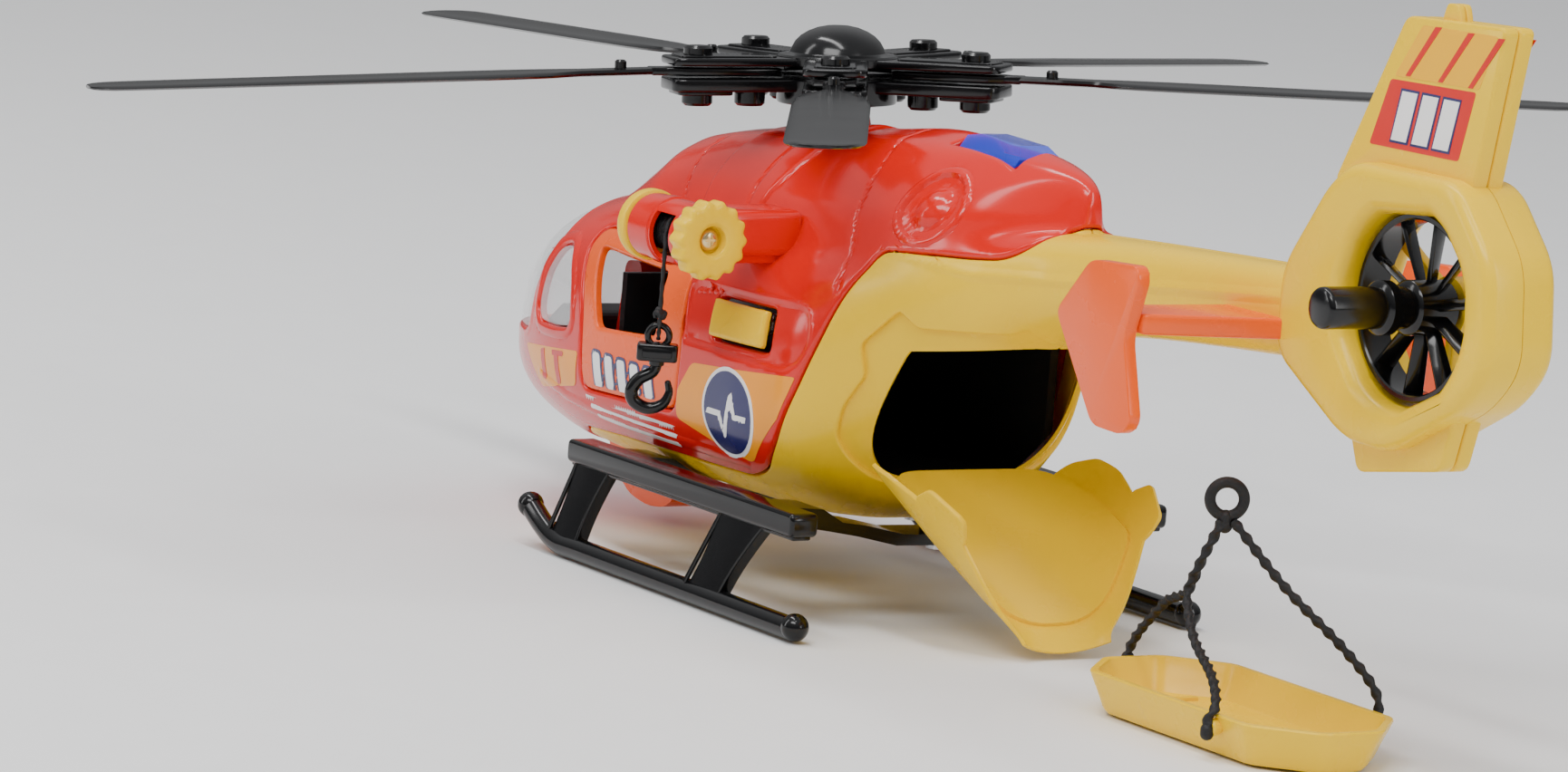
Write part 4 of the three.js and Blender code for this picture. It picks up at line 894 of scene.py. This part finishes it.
def blade_parts(k):
    root = eased(prism([(14, -4.6), (36, -4.6), (39.5, -2.4), (43, -2.4), (43, 2.4), (39.5, 2.4), (36, 4.6),
                        (14, 4.6)], "xy", 110.1, 111.9), 0.4, 2)
    # lens-shaped section along the blade, from the narrow root bar to the rounded tip
    rows, count = [], 14
    spans = [(41, 2.4, 1.0), (52, 2.4, 1.0), (59, 2.6, 1.0), (63, 4.6, 1.0), (67, 6.6, 0.95), (74, 7.8, 0.95),
             (86, 8.25, 0.95), (110, 8.25, 0.9), (140, 8.25, 0.85), (158, 8.25, 0.8), (162.5, 7.9, 0.75),
             (165, 6.6, 0.65), (166.4, 4.6, 0.55), (167, 2.4, 0.4)]
    for r, half, thick in spans:
        turns = np.arange(count) * TAU / count
        y = half * np.cos(turns)
        z = 0.9 * thick * np.sign(np.sin(turns)) * np.abs(np.sin(turns)) ** 0.55
        rows.append(np.stack([np.full(count, r - 42), y, z], 1))
    wing = moved(lofted(rows), Matrix.Rotation(math.radians(DROOP[k]), 3, "Y"), (42, 0, 111))
    peg = turned([(0, -0.4), (1.3, -0.4), (1.3, 2.0), (0.9, 2.4), (0, 2.4)], (49.5, 0, 111), steps=20)
    return round_rotor([root, wing, peg], k)


for k in range(5):
    piece(f"blade_{k + 1}", blade_parts(k), BLACK, "rotor", [f"rotor_blade_{k + 1}"])

mast_foot = [(3.2, 94), (8.6, 94), (8.2, 97), (7.9, 99), (7.5, 101), (7.0, 102.6), (6.7, 103.2), (6.3, 103.55),
             (5.8, 103.6), (3.2, 103.6), (3.2, 94)]
piece("mast_boss", [leaned(turned(mast_foot, steps=64))], RED, FUSELAGE,
      ["mast_collar"])


# ---- skids ----
def skid_parts():
    rail = rounded([(20.5, 20.3), (20.5, 25.5), (-75.5, 25.5), (-75.5, 20.3)], 1.6)
    lip = rounded([(19.6, 19.6), (19.6, 21), (-74.6, 21), (-74.6, 19.6)], 0.5)
    parts = [eased(prism(rail, "xz", 41.2, 48), 0.9, 4), eased(prism(lip, "xz", 42.4, 47), 0.4, 2)]
    for top, foot in (((3, 16.5), (8.5, 20)), ((-63.5, -46), (-52.5, -40))):
        rows = []
        for t in np.linspace(0, 1, 9):
            flare = (1 - t) ** 2.2 * 2.2 + t ** 4 * 1.6
            x0 = top[0] * (1 - t) + foot[0] * t - flare + 1.2
            x1 = top[1] * (1 - t) + foot[1] * t + flare - 1.2
            y, z = 45 + 5 * t, 22.5 * (1 - t) + 2.6 * t
            rows.append([(x0, y - 1.7, z), (x1, y - 1.7, z), (x1, y + 1.7, z), (x0, y + 1.7, z)])
        parts.append(eased(lofted(rows), 0.5, 3, 40))
        rib = swept([(top[1] + 0.6, 46.9, 20.5), (foot[1] + 0.1, 51.4, 4.6)], 0.55, 10)
        parts.append(rib)
    bend, _ = smooth_path([(-83, 50, 2.52), (-40, 50, 2.52), (5, 50, 2.52), (17, 50, 2.6), (24.5, 50, 5.1),
                           (31, 50, 8.6)], 60)
    parts.append(swept(bend, 2.55, 24))
    ball = [(3 * math.sin(a), -3 * math.cos(a)) for a in np.linspace(0.01, math.pi - 0.01, 16)]
    return parts + [turned(ball, centre, (1, 0, 0.3), 24) for centre in ((-83, 50, 3), (31, 50, 8.6))]


near = skid_parts()
for sign, side in SIDES:
    piece(f"skid_{side}_frame", on_side(near, sign), BLACK, FUSELAGE, [f"skid_{side}"])


# ---- winch ----
WINCH_Y, WINCH_Z = 52.5, 78.5
WINCH_AT = (0, WINCH_Y, WINCH_Z)
SPOOL_END = -37.9
SPOOL_AT = (SPOOL_END, WINCH_Y, WINCH_Z)
X_AXIS = (1, 0, 0)


def winch_tube():
    wall = turned([(6.1, -37.5), (6.9, -37.5), (7.1, -37.3), (7.1, -18.7), (6.9, -18.5), (6.1, -18.5),
                   (6.1, -37.5)], WINCH_AT, X_AXIS, 72)
    slot = block(-36, -28, WINCH_Y + 3.8, 70, 66, 83)
    arm = prism(rounded([(-35.5, 74), (-35.5, 84), (-22, 84), (-22, 74)], 2), "xz", 25.5, WINCH_Y - 5.6)
    web = prism(rounded([(-34, 72.4), (-34, 75), (-23.5, 75), (-23.5, 72.4)], 0.8), "xz", 27, WINCH_Y - 4)
    band = turned([(7.0, -27.2), (7.4, -27.0), (7.4, -24.2), (7.0, -24.0), (7.0, -27.2)], WINCH_AT, X_AXIS, 72)
    return [carved(wall, [slot]), eased(arm, 1.6, 5), eased(web, 0.6, 2), band]


piece("winch_tube", winch_tube(), RED, FUSELAGE, ["winch_housing"])
spool = turned([(0, SPOOL_END), (3.2, SPOOL_END), (3.2, -17.9), (7.0, -17.9), (7.5, -17.6), (7.7, -17.0),
                (7.7, -15.5), (7.5, -15.0), (7.0, -14.75), (4.4, -14.7), (4.0, -15.3), (0, -15.3)],
               WINCH_AT, X_AXIS, 72)
piece("winch_drum", [spool], YELLOW, "winch", ["winch_spool"])


def knob():
    """Hand knob with rolling lobes round its rim and a deep round recess."""
    count = 168
    turns = np.arange(count) * TAU / count
    lobes = 0.45 * np.cos(14 * turns)
    rear, front = SPOOL_END - 5.3, SPOOL_END - 0.3
    rows = [(front, 7.4, 0.7), (front - 0.35, 7.95, 0.9), (front - 0.9, 8.15, 1), (rear + 0.9, 8.15, 1),
            (rear + 0.4, 7.95, 0.9), (rear + 0.1, 7.5, 0.7), (rear, 6.9, 0.4), (rear, 4.1, 0),
            (rear + 0.1, 3.6, 0),
            (rear + 0.5, 3.2, 0), (rear + 2.6, 2.9, 0), (rear + 3.0, 2.4, 0), (rear + 3.0, 1.2, 0),
            (front, 1.2, 0)]
    rings = [np.stack([np.full(count, x), WINCH_Y + (r + lobes * k) * np.cos(turns),
                       WINCH_Z + (r + lobes * k) * np.sin(turns)], 1) for x, r, k in rows]
    return lofted(rings, True)


piece("winch_hand_knob", [knob()], YELLOW, "winch", ["winch_knob"])
screw = turned([(0, -4.1), (0.9, -4.1), (1.8, -3.8), (2.3, -3.2), (2.3, -2.6), (0, -2.6)], SPOOL_AT, X_AXIS,
               32)
slots = [block(SPOOL_END - 4.3, SPOOL_END - 3.7, WINCH_Y - a, WINCH_Y + a, WINCH_Z - b, WINCH_Z + b)
         for a, b in ((1.3, 0.28), (0.28, 1.3))]
shank = turned([(0, -2.7), (0.85, -2.7), (0.85, 10), (0, 10)], SPOOL_AT, X_AXIS, 20)
piece("winch_screw_head", [carved(screw, slots), shank], BRASS, "winch", ["winch_screw"])

coil = [(-36.1, WINCH_Y + 4.0 * math.cos(t), WINCH_Z + 4.0 * math.sin(t)) for t in np.linspace(0, TAU, 41)]
coils = [swept(np.array(coil) + (k, 0, 0), 0.46, 8) for k in range(16)]
piece("cord_turns", coils, CORD_BLACK, "winch", ["cord_winding"])


# ---- cord, block and hook ----
WOUND = 5.25
CORD_X, HANG_Y, KNOT_Z = -32.0, WINCH_Y + WOUND, 61.4
HOOK_TURN = math.radians(58)


def hang(h, z, across=0.0):
    c, s = math.cos(HOOK_TURN), math.sin(HOOK_TURN)
    return (CORD_X + h * c - across * s, HANG_Y + h * s + across * c, z)


drum_turn = [(CORD_X, WINCH_Y + WOUND * math.cos(t), WINCH_Z + WOUND * math.sin(t))
             for t in np.linspace(math.pi, 0, 33)]
drop = [(CORD_X, HANG_Y, z) for z in np.linspace(WINCH_Z - 0.5, KNOT_Z + 0.4, 36)]
cord_line = drum_turn + drop
cord_length = sum(float(np.linalg.norm(np.subtract(a, b))) for a, b in zip(cord_line, cord_line[1:]))
dense, _ = smooth_path(cord_line, 150)
twist = np.linspace(0, cord_length / 3.4 * math.pi, 150)
winch_cord = piece("winch_cord_line", [swept(dense, 0.52, 14, twist, 0.78)], CORD_BLACK, None,
                   ["winch_cord"])
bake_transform(winch_cord)

loop_side = [(0.25, KNOT_Z), (1.25, 60.3), (1.75, 58.6), (1.5, 57.2), (0.7, 56.2), (0, 55.95)]
loop_line = [hang(0, z, h) for h, z in loop_side] + [hang(0, z, -h) for h, z in loop_side[-2::-1]]
knot_line = [hang(1.0 * math.cos(t), KNOT_Z + 0.5 * math.sin(2 * t) - 0.2, 1.0 * math.sin(t))
             for t in np.linspace(0, TAU * 1.35, 30)]
knot_core = capsule([hang(-0.3, KNOT_Z - 0.6), hang(0.3, KNOT_Z + 0.7)], 0.85, 14)
loop = piece("cord_loop_knot", [rope(loop_line, 0.5, 2.2), rope(knot_line, 0.62, 2.2, 0.8), knot_core],
             CORD_BLACK, "hook", ["cord_loop"])


def hook_block():
    """Flat swivel block with a shackle eye on top and a collar below."""
    body = eased(prism(rectangle(-4.4, 4.4, 2.3, 1.0), "xy", 51.2, 55), 0.55, 3)
    cheek = eased(block(-3.2, 3.2, -2.7, 2.7, 52, 54.2), 0.4, 2)
    neck = turned([(0, 54.4), (1.5, 54.4), (1.3, 55.2), (0, 55.4)], steps=24)
    collar = turned([(0, 49.9), (0.9, 49.9), (1.6, 50.3), (1.7, 51.3), (0, 51.3)], steps=24)
    turn = Matrix.Rotation(HOOK_TURN, 3, "Z")
    parts = [moved(part, turn, (CORD_X, HANG_Y, 0)) for part in (body, cheek, neck, collar)]
    ring = [hang(2.3 * math.cos(t), 56.6 + 2.3 * math.sin(t)) for t in np.linspace(0, TAU, 49)]
    return parts + [swept(ring, 0.72, 16)]


block_piece = piece("swivel_block", hook_block(), BLACK, "hook", ["hook_block"])
HOOK_LINE = [(0, 51.0), (0.1, 49.9), (0.9, 48.6), (3.5, 47.0), (4.9, 44.5), (4.1, 42.1), (1.1, 40.9),
             (-1.9, 42.0), (-3.1, 44.5), (-2.7, 46.6)]
bend, _ = smooth_path([hang(h, z) for h, z in HOOK_LINE], 60)
thickness = [1.15 + 0.3 * math.sin(math.pi * min(1, k / 46)) - 0.45 * max(0, (k - 46) / 13) for k in range(60)]
point = capsule([bend[-2], bend[-1]], thickness[-1], 20, 0.9)
hook_piece = piece("lifting_hook", [swept(bend, thickness, 22), point], BLACK, "hook",
                   ["hook"])


# ---- tailgate, hung open on the lower edge of the loading opening ----
HINGE = np.array([-66.0, 0.0, 29.0])
GATE_OPEN = 78
GATE_TURN = Matrix.Rotation(math.radians(-GATE_OPEN), 3, "Y")


def opened(part):
    return moved(moved(part, None, -HINGE), GATE_TURN, HINGE)


gate_field = both(shape(GATE_PIECE, 2.5), short_of(Z, 62), short_of(X, -60))
lip_area = either(shape(GATE_LIP, 1.5), shape(GATE_GRIP, 1.5))
rounded_tip = lambda p: np.where(p[:, X] < -90, 12.4 - np.hypot(p[:, X] + 90, 0.6 * p[:, Y]), 99)
gate_skin = trimmed(*SKIN, gate_field, 1.8, 0.8, 0.1)
lip = trimmed(*SKIN, both(lip_area, rounded_tip, short_of(Z, 69.5)), 0.9, 0.35, 0.05)
piece("tailgate_flap", [opened(gate_skin), opened(lip)], YELLOW, "tailgate", ["tailgate"])


# ---- battery door in the belly, and the mast ----
belly = both(inside(rectangle(-44, -4, 8), (X, Y)), short_of(Z, 24))
piece("battery_door", [trimmed(*SKIN, belly, 2.0, 0.4, 0.1)], YELLOW, FUSELAGE,
      ["battery_cover"])
rod = turned([(0, 74), (2.2, 74), (2.4, 74.3), (2.4, 107.7), (2.2, 108), (0, 108)], steps=40)
piece("mast_rod", [leaned(rod)], STEEL, "rotor", ["mast_shaft"])


# ---- stretcher and its sling ----
TRAY_X, TRAY_Y, TRAY_LONG, TRAY_WIDE, TRAY_HIGH = -186.0, 10.0, 76.0, 36.0, 8.8


def tray_outline(inset, corner=11.0):
    a, b, c = TRAY_LONG / 2 - inset, TRAY_WIDE / 2 - inset, corner - inset * 0.4
    half = [(a, b - c), (a - c, b), (c - a, b), (-a, b - c)]
    return rounded([(x + TRAY_X, y + TRAY_Y) for x, y in half + [(x, -y) for x, y in half[::-1]]], 2.2, 6)


def rim_height(p):
    """Height of the tray's wall: raised on the far side and dipped on the near side."""
    x, y = p[:, X] - TRAY_X, p[:, Y] - TRAY_Y
    ramp = lambda v, a, b: np.clip((v - a) / (b - a), 0, 1)
    up = 3.0 * ramp(x, -22, -19) * (1 - ramp(x, 15, 18)) * ramp(-y, 13.5, 15)
    down = 2.4 * ramp(x, -20, -17) * (1 - ramp(x, 19, 22)) * ramp(y, 13.5, 15)
    return TRAY_HIGH + up - down


def hole_ring(turns):
    """Where the rays from the tray's middle at these turns cross the edge of the slot in its floor."""
    hole = rounded([(-14, -4), (18, -4), (18, 4), (-14, 4)], 2.5, 6)
    spots = []
    for t in turns:
        direction = np.array([math.cos(t), math.sin(t)])
        best = 0.0
        for p, q in zip(hole, np.roll(hole, -1, 0)):
            edge = q - p
            cross = direction[0] * edge[1] - direction[1] * edge[0]
            if abs(cross) < 1e-9:
                continue
            reach = (p[0] * edge[1] - p[1] * edge[0]) / cross
            spot = (p[0] * direction[1] - p[1] * direction[0]) / cross
            if reach > 0 and -1e-6 <= spot <= 1 + 1e-6:
                best = max(best, reach)
        spots.append((TRAY_X + direction[0] * best, TRAY_Y + direction[1] * best))
    return np.array(spots)


def level(ring, z):
    """The outline's points at a height, or at a height for each of them."""
    return np.column_stack([ring, np.broadcast_to(z, len(ring))])


def tray_parts():
    # the wall's section from foot to rim and down inside: inset with height, then with depth below the rim
    outer = [(5.0, 0.0), (3.4, 0.3), (2.7, 1.2), (1.5, 4.5)]
    rim = [(0.35, -1.4), (0.0, -0.35), (0.15, 0.0), (1.35, 0.0), (1.6, -0.35)]
    inner = [(3.0, 4.6), (4.3, 2.1), (5.4, 1.6)]
    top = rim_height(tray_outline(0))
    rows = [level(tray_outline(inset), z) for inset, z in outer]
    rows += [level(tray_outline(inset), top + depth) for inset, depth in rim]
    rows += [level(tray_outline(inset), z) for inset, z in inner]
    hole = hole_ring(np.arctan2(rows[0][:, Y] - TRAY_Y, rows[0][:, X] - TRAY_X))
    parts = [lofted(rows + [level(hole, 1.6), level(hole, 0.0)], True)]
    # peg on the near side that the sling's leg is hooked on, and ribs across the floor
    parts.append(turned([(0, 0), (1.5, 0), (1.6, 0.3), (1.6, 1.6), (1.3, 2.0), (0, 2.0)],
                        (-203, TRAY_Y + 17.2, 6.2), (0, 1, 0), 24))
    for x in (-214, -160):
        parts.append(eased(block(x, x + 1.2, TRAY_Y - 9, TRAY_Y + 9, 1.4, 2.4), 0.3, 2))
    return parts


piece("stretcher_body", tray_parts(), YELLOW, "stretcher", ["stretcher_tray"])

RING_AT = np.array([-176.0, 10.0, 46.0])
PEG_X, PEG_Y = -203, TRAY_Y + 19.7
FAR_X, FAR_Y = -205.5, TRAY_Y - 19.7
HEAD_X, HEAD_Y = TRAY_X + 39.3, 10
LEGS = [
    [(-175.6, 10.6, 41.6), (-172, 12, 33), (-168.5, 12.4, 26), (-160, 11, 22.5), (-151.6, 10.4, 15.5),
     (HEAD_X - 0.7, HEAD_Y, 10.8), (HEAD_X, HEAD_Y, 8.2)],
    [(-176.4, 10.8, 41.6), (-173.6, 13.4, 33), (-171, 14, 26), (-180, 18, 19), (-194, 23, 14.2),
     (PEG_X + 1, PEG_Y - 2.3, 10.4), (PEG_X, PEG_Y, 7.8), (PEG_X, PEG_Y, 5)],
    [(-177.4, 9, 41.8), (-187, 2, 30), (-197, -6, 19.5), (FAR_X + 1.5, FAR_Y + 0.1, 12), (FAR_X, FAR_Y, 5)],
]
turn = Matrix.Rotation(-0.55, 3, "Z") @ Matrix.Rotation(math.pi / 2, 3, "Y")
ring = [(3.4 * math.cos(t), 3.4 * math.sin(t), 0) for t in np.linspace(0, TAU, 65)]
sling = [moved(swept(ring, 1.15, 20), turn, RING_AT),
         capsule([RING_AT - (0, 0, 3.6), RING_AT - (0, 0, 5.4)], 1.5, 18)]
sling += [rope(leg, 1.12, 3.1) for leg in LEGS]
for leg, end in ((1, (PEG_X, PEG_Y, 5.8)), (2, (FAR_X, FAR_Y, 5.8)), (0, (HEAD_X, HEAD_Y, 7.4))):
    sling.append(capsule([LEGS[leg][-1], end], 1.35, 16))
piece("stretcher_rigging", sling, CORD_BLACK, "stretcher", ["stretcher_sling"], 60)


# ---- stickers ----
FILM = 0.07
# How far each layer of sticker lies over the skin, on the body and on the doors.
LAYERS, DOOR_LAYERS = (0.46, 0.54, 0.62, 0.70), (0.21, 0.29)


def bars(corners, places, radius=0.0):
    """The same mark at several places along X, as one field."""
    return either(*[shape([(x + place, z) for x, z in corners], radius) for place in places])


red_inside = grown(both(red_area, outside(door_area)), -1.0)
nose = shape([(71, 39), (61, 30.5), (37.6, 34.4), (36.2, 42.4)], 1)
nose_stripes = either(bars([(1.8, 43), (0, 33), (-2.6, 33), (-0.8, 43)], (57.5, 48.5), 0.6),
                      bars([(3.2, 43), (2.6, 39.2), (-4.4, 39.9), (-4.0, 43)], (57.5, 48.5), 0.6))
flank = shape([(-9.6, 41), (-15, 48), (-53, 50.7), (-50, 43.8), (-37, 29.8), (-30.7, 30.7), (-9, 35)], 1.5)
disc = shape(circle(-30.3, 39.6, 9.8))
pulse = near_line([(-37.6, 39), (-33.4, 39), (-32, 43.6), (-29.4, 34.6), (-27.6, 39), (-23, 39)])
slants = bars([(3.4, 43.6), (1.4, 35.6), (-2.0, 35.6), (0, 43.6)], (25.6, 19.8, 14.0, 8.2, 2.4), 0.8)
door_part = grown(door_area, -1.6)
sill = either(*[shape([(33 - 2 * k, z + 0.75), (33 - 2 * k, z - 0.1), (-7, z - 0.7), (-7, z + 0.15)])
                for k, z in enumerate((32.6, 30.7, 28.8))])
MARKS = [
    ("nose_decal", both(nose, red_inside), STICKER_AMBER, LAYERS[0]),
    ("nose_stripes", both(nose_stripes, grown(nose, -0.5), red_inside), STICKER_RED, LAYERS[1]),
    ("flank_decal", both(flank, red_inside), STICKER_AMBER, LAYERS[0]),
    ("badge_rim", both(disc, red_inside), STICKER_WHITE, LAYERS[1]),
    ("badge_field", both(grown(disc, -0.9), red_inside), STICKER_NAVY, LAYERS[2]),
    ("badge_pulse", grown(pulse, 0.62), STICKER_WHITE, LAYERS[3]),
    ("door_bar_edges", both(grown(slants, 0.7), door_part), STICKER_NAVY, DOOR_LAYERS[0]),
    ("door_bars", both(slants, door_part), STICKER_WHITE, DOOR_LAYERS[1]),
    ("sill_stripes", both(sill, red_inside), STICKER_WHITE, LAYERS[0])]
for sign, side in SIDES:
    for name, field, paint, lift in MARKS:
        on_door = name.startswith("door")
        body, slot = (f"{side}_door", "orange_plastic") if on_door else (FUSELAGE, "red_plastic")
        film = trimmed(*SKIN, side_of(field, sign), FILM, 0.0, lift)
        piece(f"{name}_{side}", [film], paint, body)

# The fin's side is 3.6 from its middle. Each mark starts just inside the layer below it.
FIN_LOW, FIN_TOP = 3.58, 3.66


def fin_marks(corners, places, thick):
    outlines = [[(x + place, z) for x, z in corners] for place in places]
    return [prism(outline, "xz", FIN_TOP - 0.02, FIN_TOP + thick) for outline in outlines]


def fin_block(rim):
    """A slanted block's corners, with a rim of this width round it."""
    return [(rim, 122.3 - rim), (rim - 2.4, 132.0 + rim), (-rim - 7.2, 132.0 + rim), (-rim - 4.8, 122.3 - rim)]


FIN_RED = [(-208.5, 133.9), (-235.2, 134.4), (-231.6, 120.8), (-203.4, 120.7)]
FIN_GOLD = [(-209.5, 134.6), (-217, 145.2), (-240.4, 145.6), (-236, 135)]
FIN_STRIPE = [(0, 135.0), (-8.0, 145.3), (-10.0, 145.4), (-1.4, 135.0)]
BLOCKS_AT = (-210.2, -216.8, -223.4)
FIN_MARKS = [
    ("fin_red", [prism(rounded(FIN_RED, 0.8), "xz", FIN_LOW, FIN_TOP)], STICKER_RED),
    ("fin_gold", [prism(rounded(FIN_GOLD, 0.8), "xz", FIN_LOW, FIN_TOP)], STICKER_GOLD),
    ("fin_stripes", fin_marks(FIN_STRIPE, (-213.0, -223.2, -232.6), 0.08), STICKER_RED),
    ("fin_block_edges", fin_marks(fin_block(0.5), BLOCKS_AT, 0.06), STICKER_NAVY),
    ("fin_blocks", fin_marks(fin_block(0.0), BLOCKS_AT, 0.12), STICKER_WHITE)]
for sign, side in SIDES:
    for name, flats, paint in FIN_MARKS:
        piece(f"{name}_{side}", on_side(flats, sign), paint, FUSELAGE)


# ---- CAD pieces that keep their own shape, with eased edges ----
def dress(node, material, width=0.3, angle=38):
    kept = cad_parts[node]
    kept.data.materials.clear()
    kept.data.materials.append(material)
    if width:
        ease_edges(kept, width, 2, angle).harden_normals = True
    soften(kept, angle)


for node in ("cabin_tub", "instrument_panel", "battery_box", "speaker"):
    dress(node, SATIN)
for node in ("front_seat_port", "front_seat_starboard"):
    dress(node, RED, 0.6)
for node in ("cross_member_front", "cross_member_rear"):
    dress(node, BLACK, 0.5)
dress("search_light", ORANGE, 0.8)
dress("beacon_lens", BLUE, 0.5, 20)
dress("beacon_led", LED, 0)
dress("circuit_board", BOARD, 0.1)
for node in ("button_cell_1", "button_cell_2", "button_cell_3", "battery_screw", "button_spring", "fan_axle",
             "skid_screw_front", "skid_screw_rear"):
    dress(node, STEEL, 0)
dress("mast_bush", BLACK, 0.2)


# ---- floor and light ----
FLOOR_HALF, FLOOR_Z = 9, -0.0004
# Each soft light: name, place and size in metres, power in watts.
SOFTBOXES = (("key", (-0.8, 1.1, 1.5), (1.1, 0.5), 17), ("left strip", (0.9, 1.5, 0.9), (0.25, 1.6), 8),
             ("top", (0.0, 0.3, 1.4), (1.6, 0.16), 12), ("right", (-1.7, -0.6, 0.8), (0.4, 1.2), 9))


def studio():
    grey = plastic("floor", (0.86, 0.86, 0.86), 0.7, 0.01, 0.0, coat=0.0)
    mesh = bpy.data.meshes.new("floor")
    corners = [(x, y, FLOOR_Z) for x, y in rectangle(-FLOOR_HALF, FLOOR_HALF, FLOOR_HALF)]
    mesh.from_pydata(corners, [], [[0, 1, 2, 3]])
    mesh.materials.append(grey)
    add("floor", mesh)
    # the backdrop grows brighter with height
    world = bpy.data.worlds.new("studio")
    bpy.context.scene.world = world
    world.use_nodes = True
    nodes, links = world.node_tree.nodes, world.node_tree.links
    back = nodes["Background"]
    put(back, Color=(0.97, 0.98, 1.0, 1))
    place = nodes.new("ShaderNodeTexCoord")
    parts = nodes.new("ShaderNodeSeparateXYZ")
    links.new(place.outputs["Generated"], parts.inputs["Vector"])
    rise = nodes.new("ShaderNodeMapRange")
    put(rise, From_Min=0.05, From_Max=0.75, To_Min=0.16, To_Max=0.75)
    links.new(parts.outputs["Z"], rise.inputs["Value"])
    links.new(rise.outputs["Result"], back.inputs["Strength"])
    for name, spot, size, power in SOFTBOXES:
        data = bpy.data.lights.new(name, "AREA")
        data.shape = "RECTANGLE"
        data.size, data.size_y = size
        data.energy = power
        light = add(name, data)
        light.location = spot
        light.rotation_euler = (Vector((0, 0, 0.06)) - Vector(spot)).to_track_quat("-Z", "Y").to_euler()


studio()
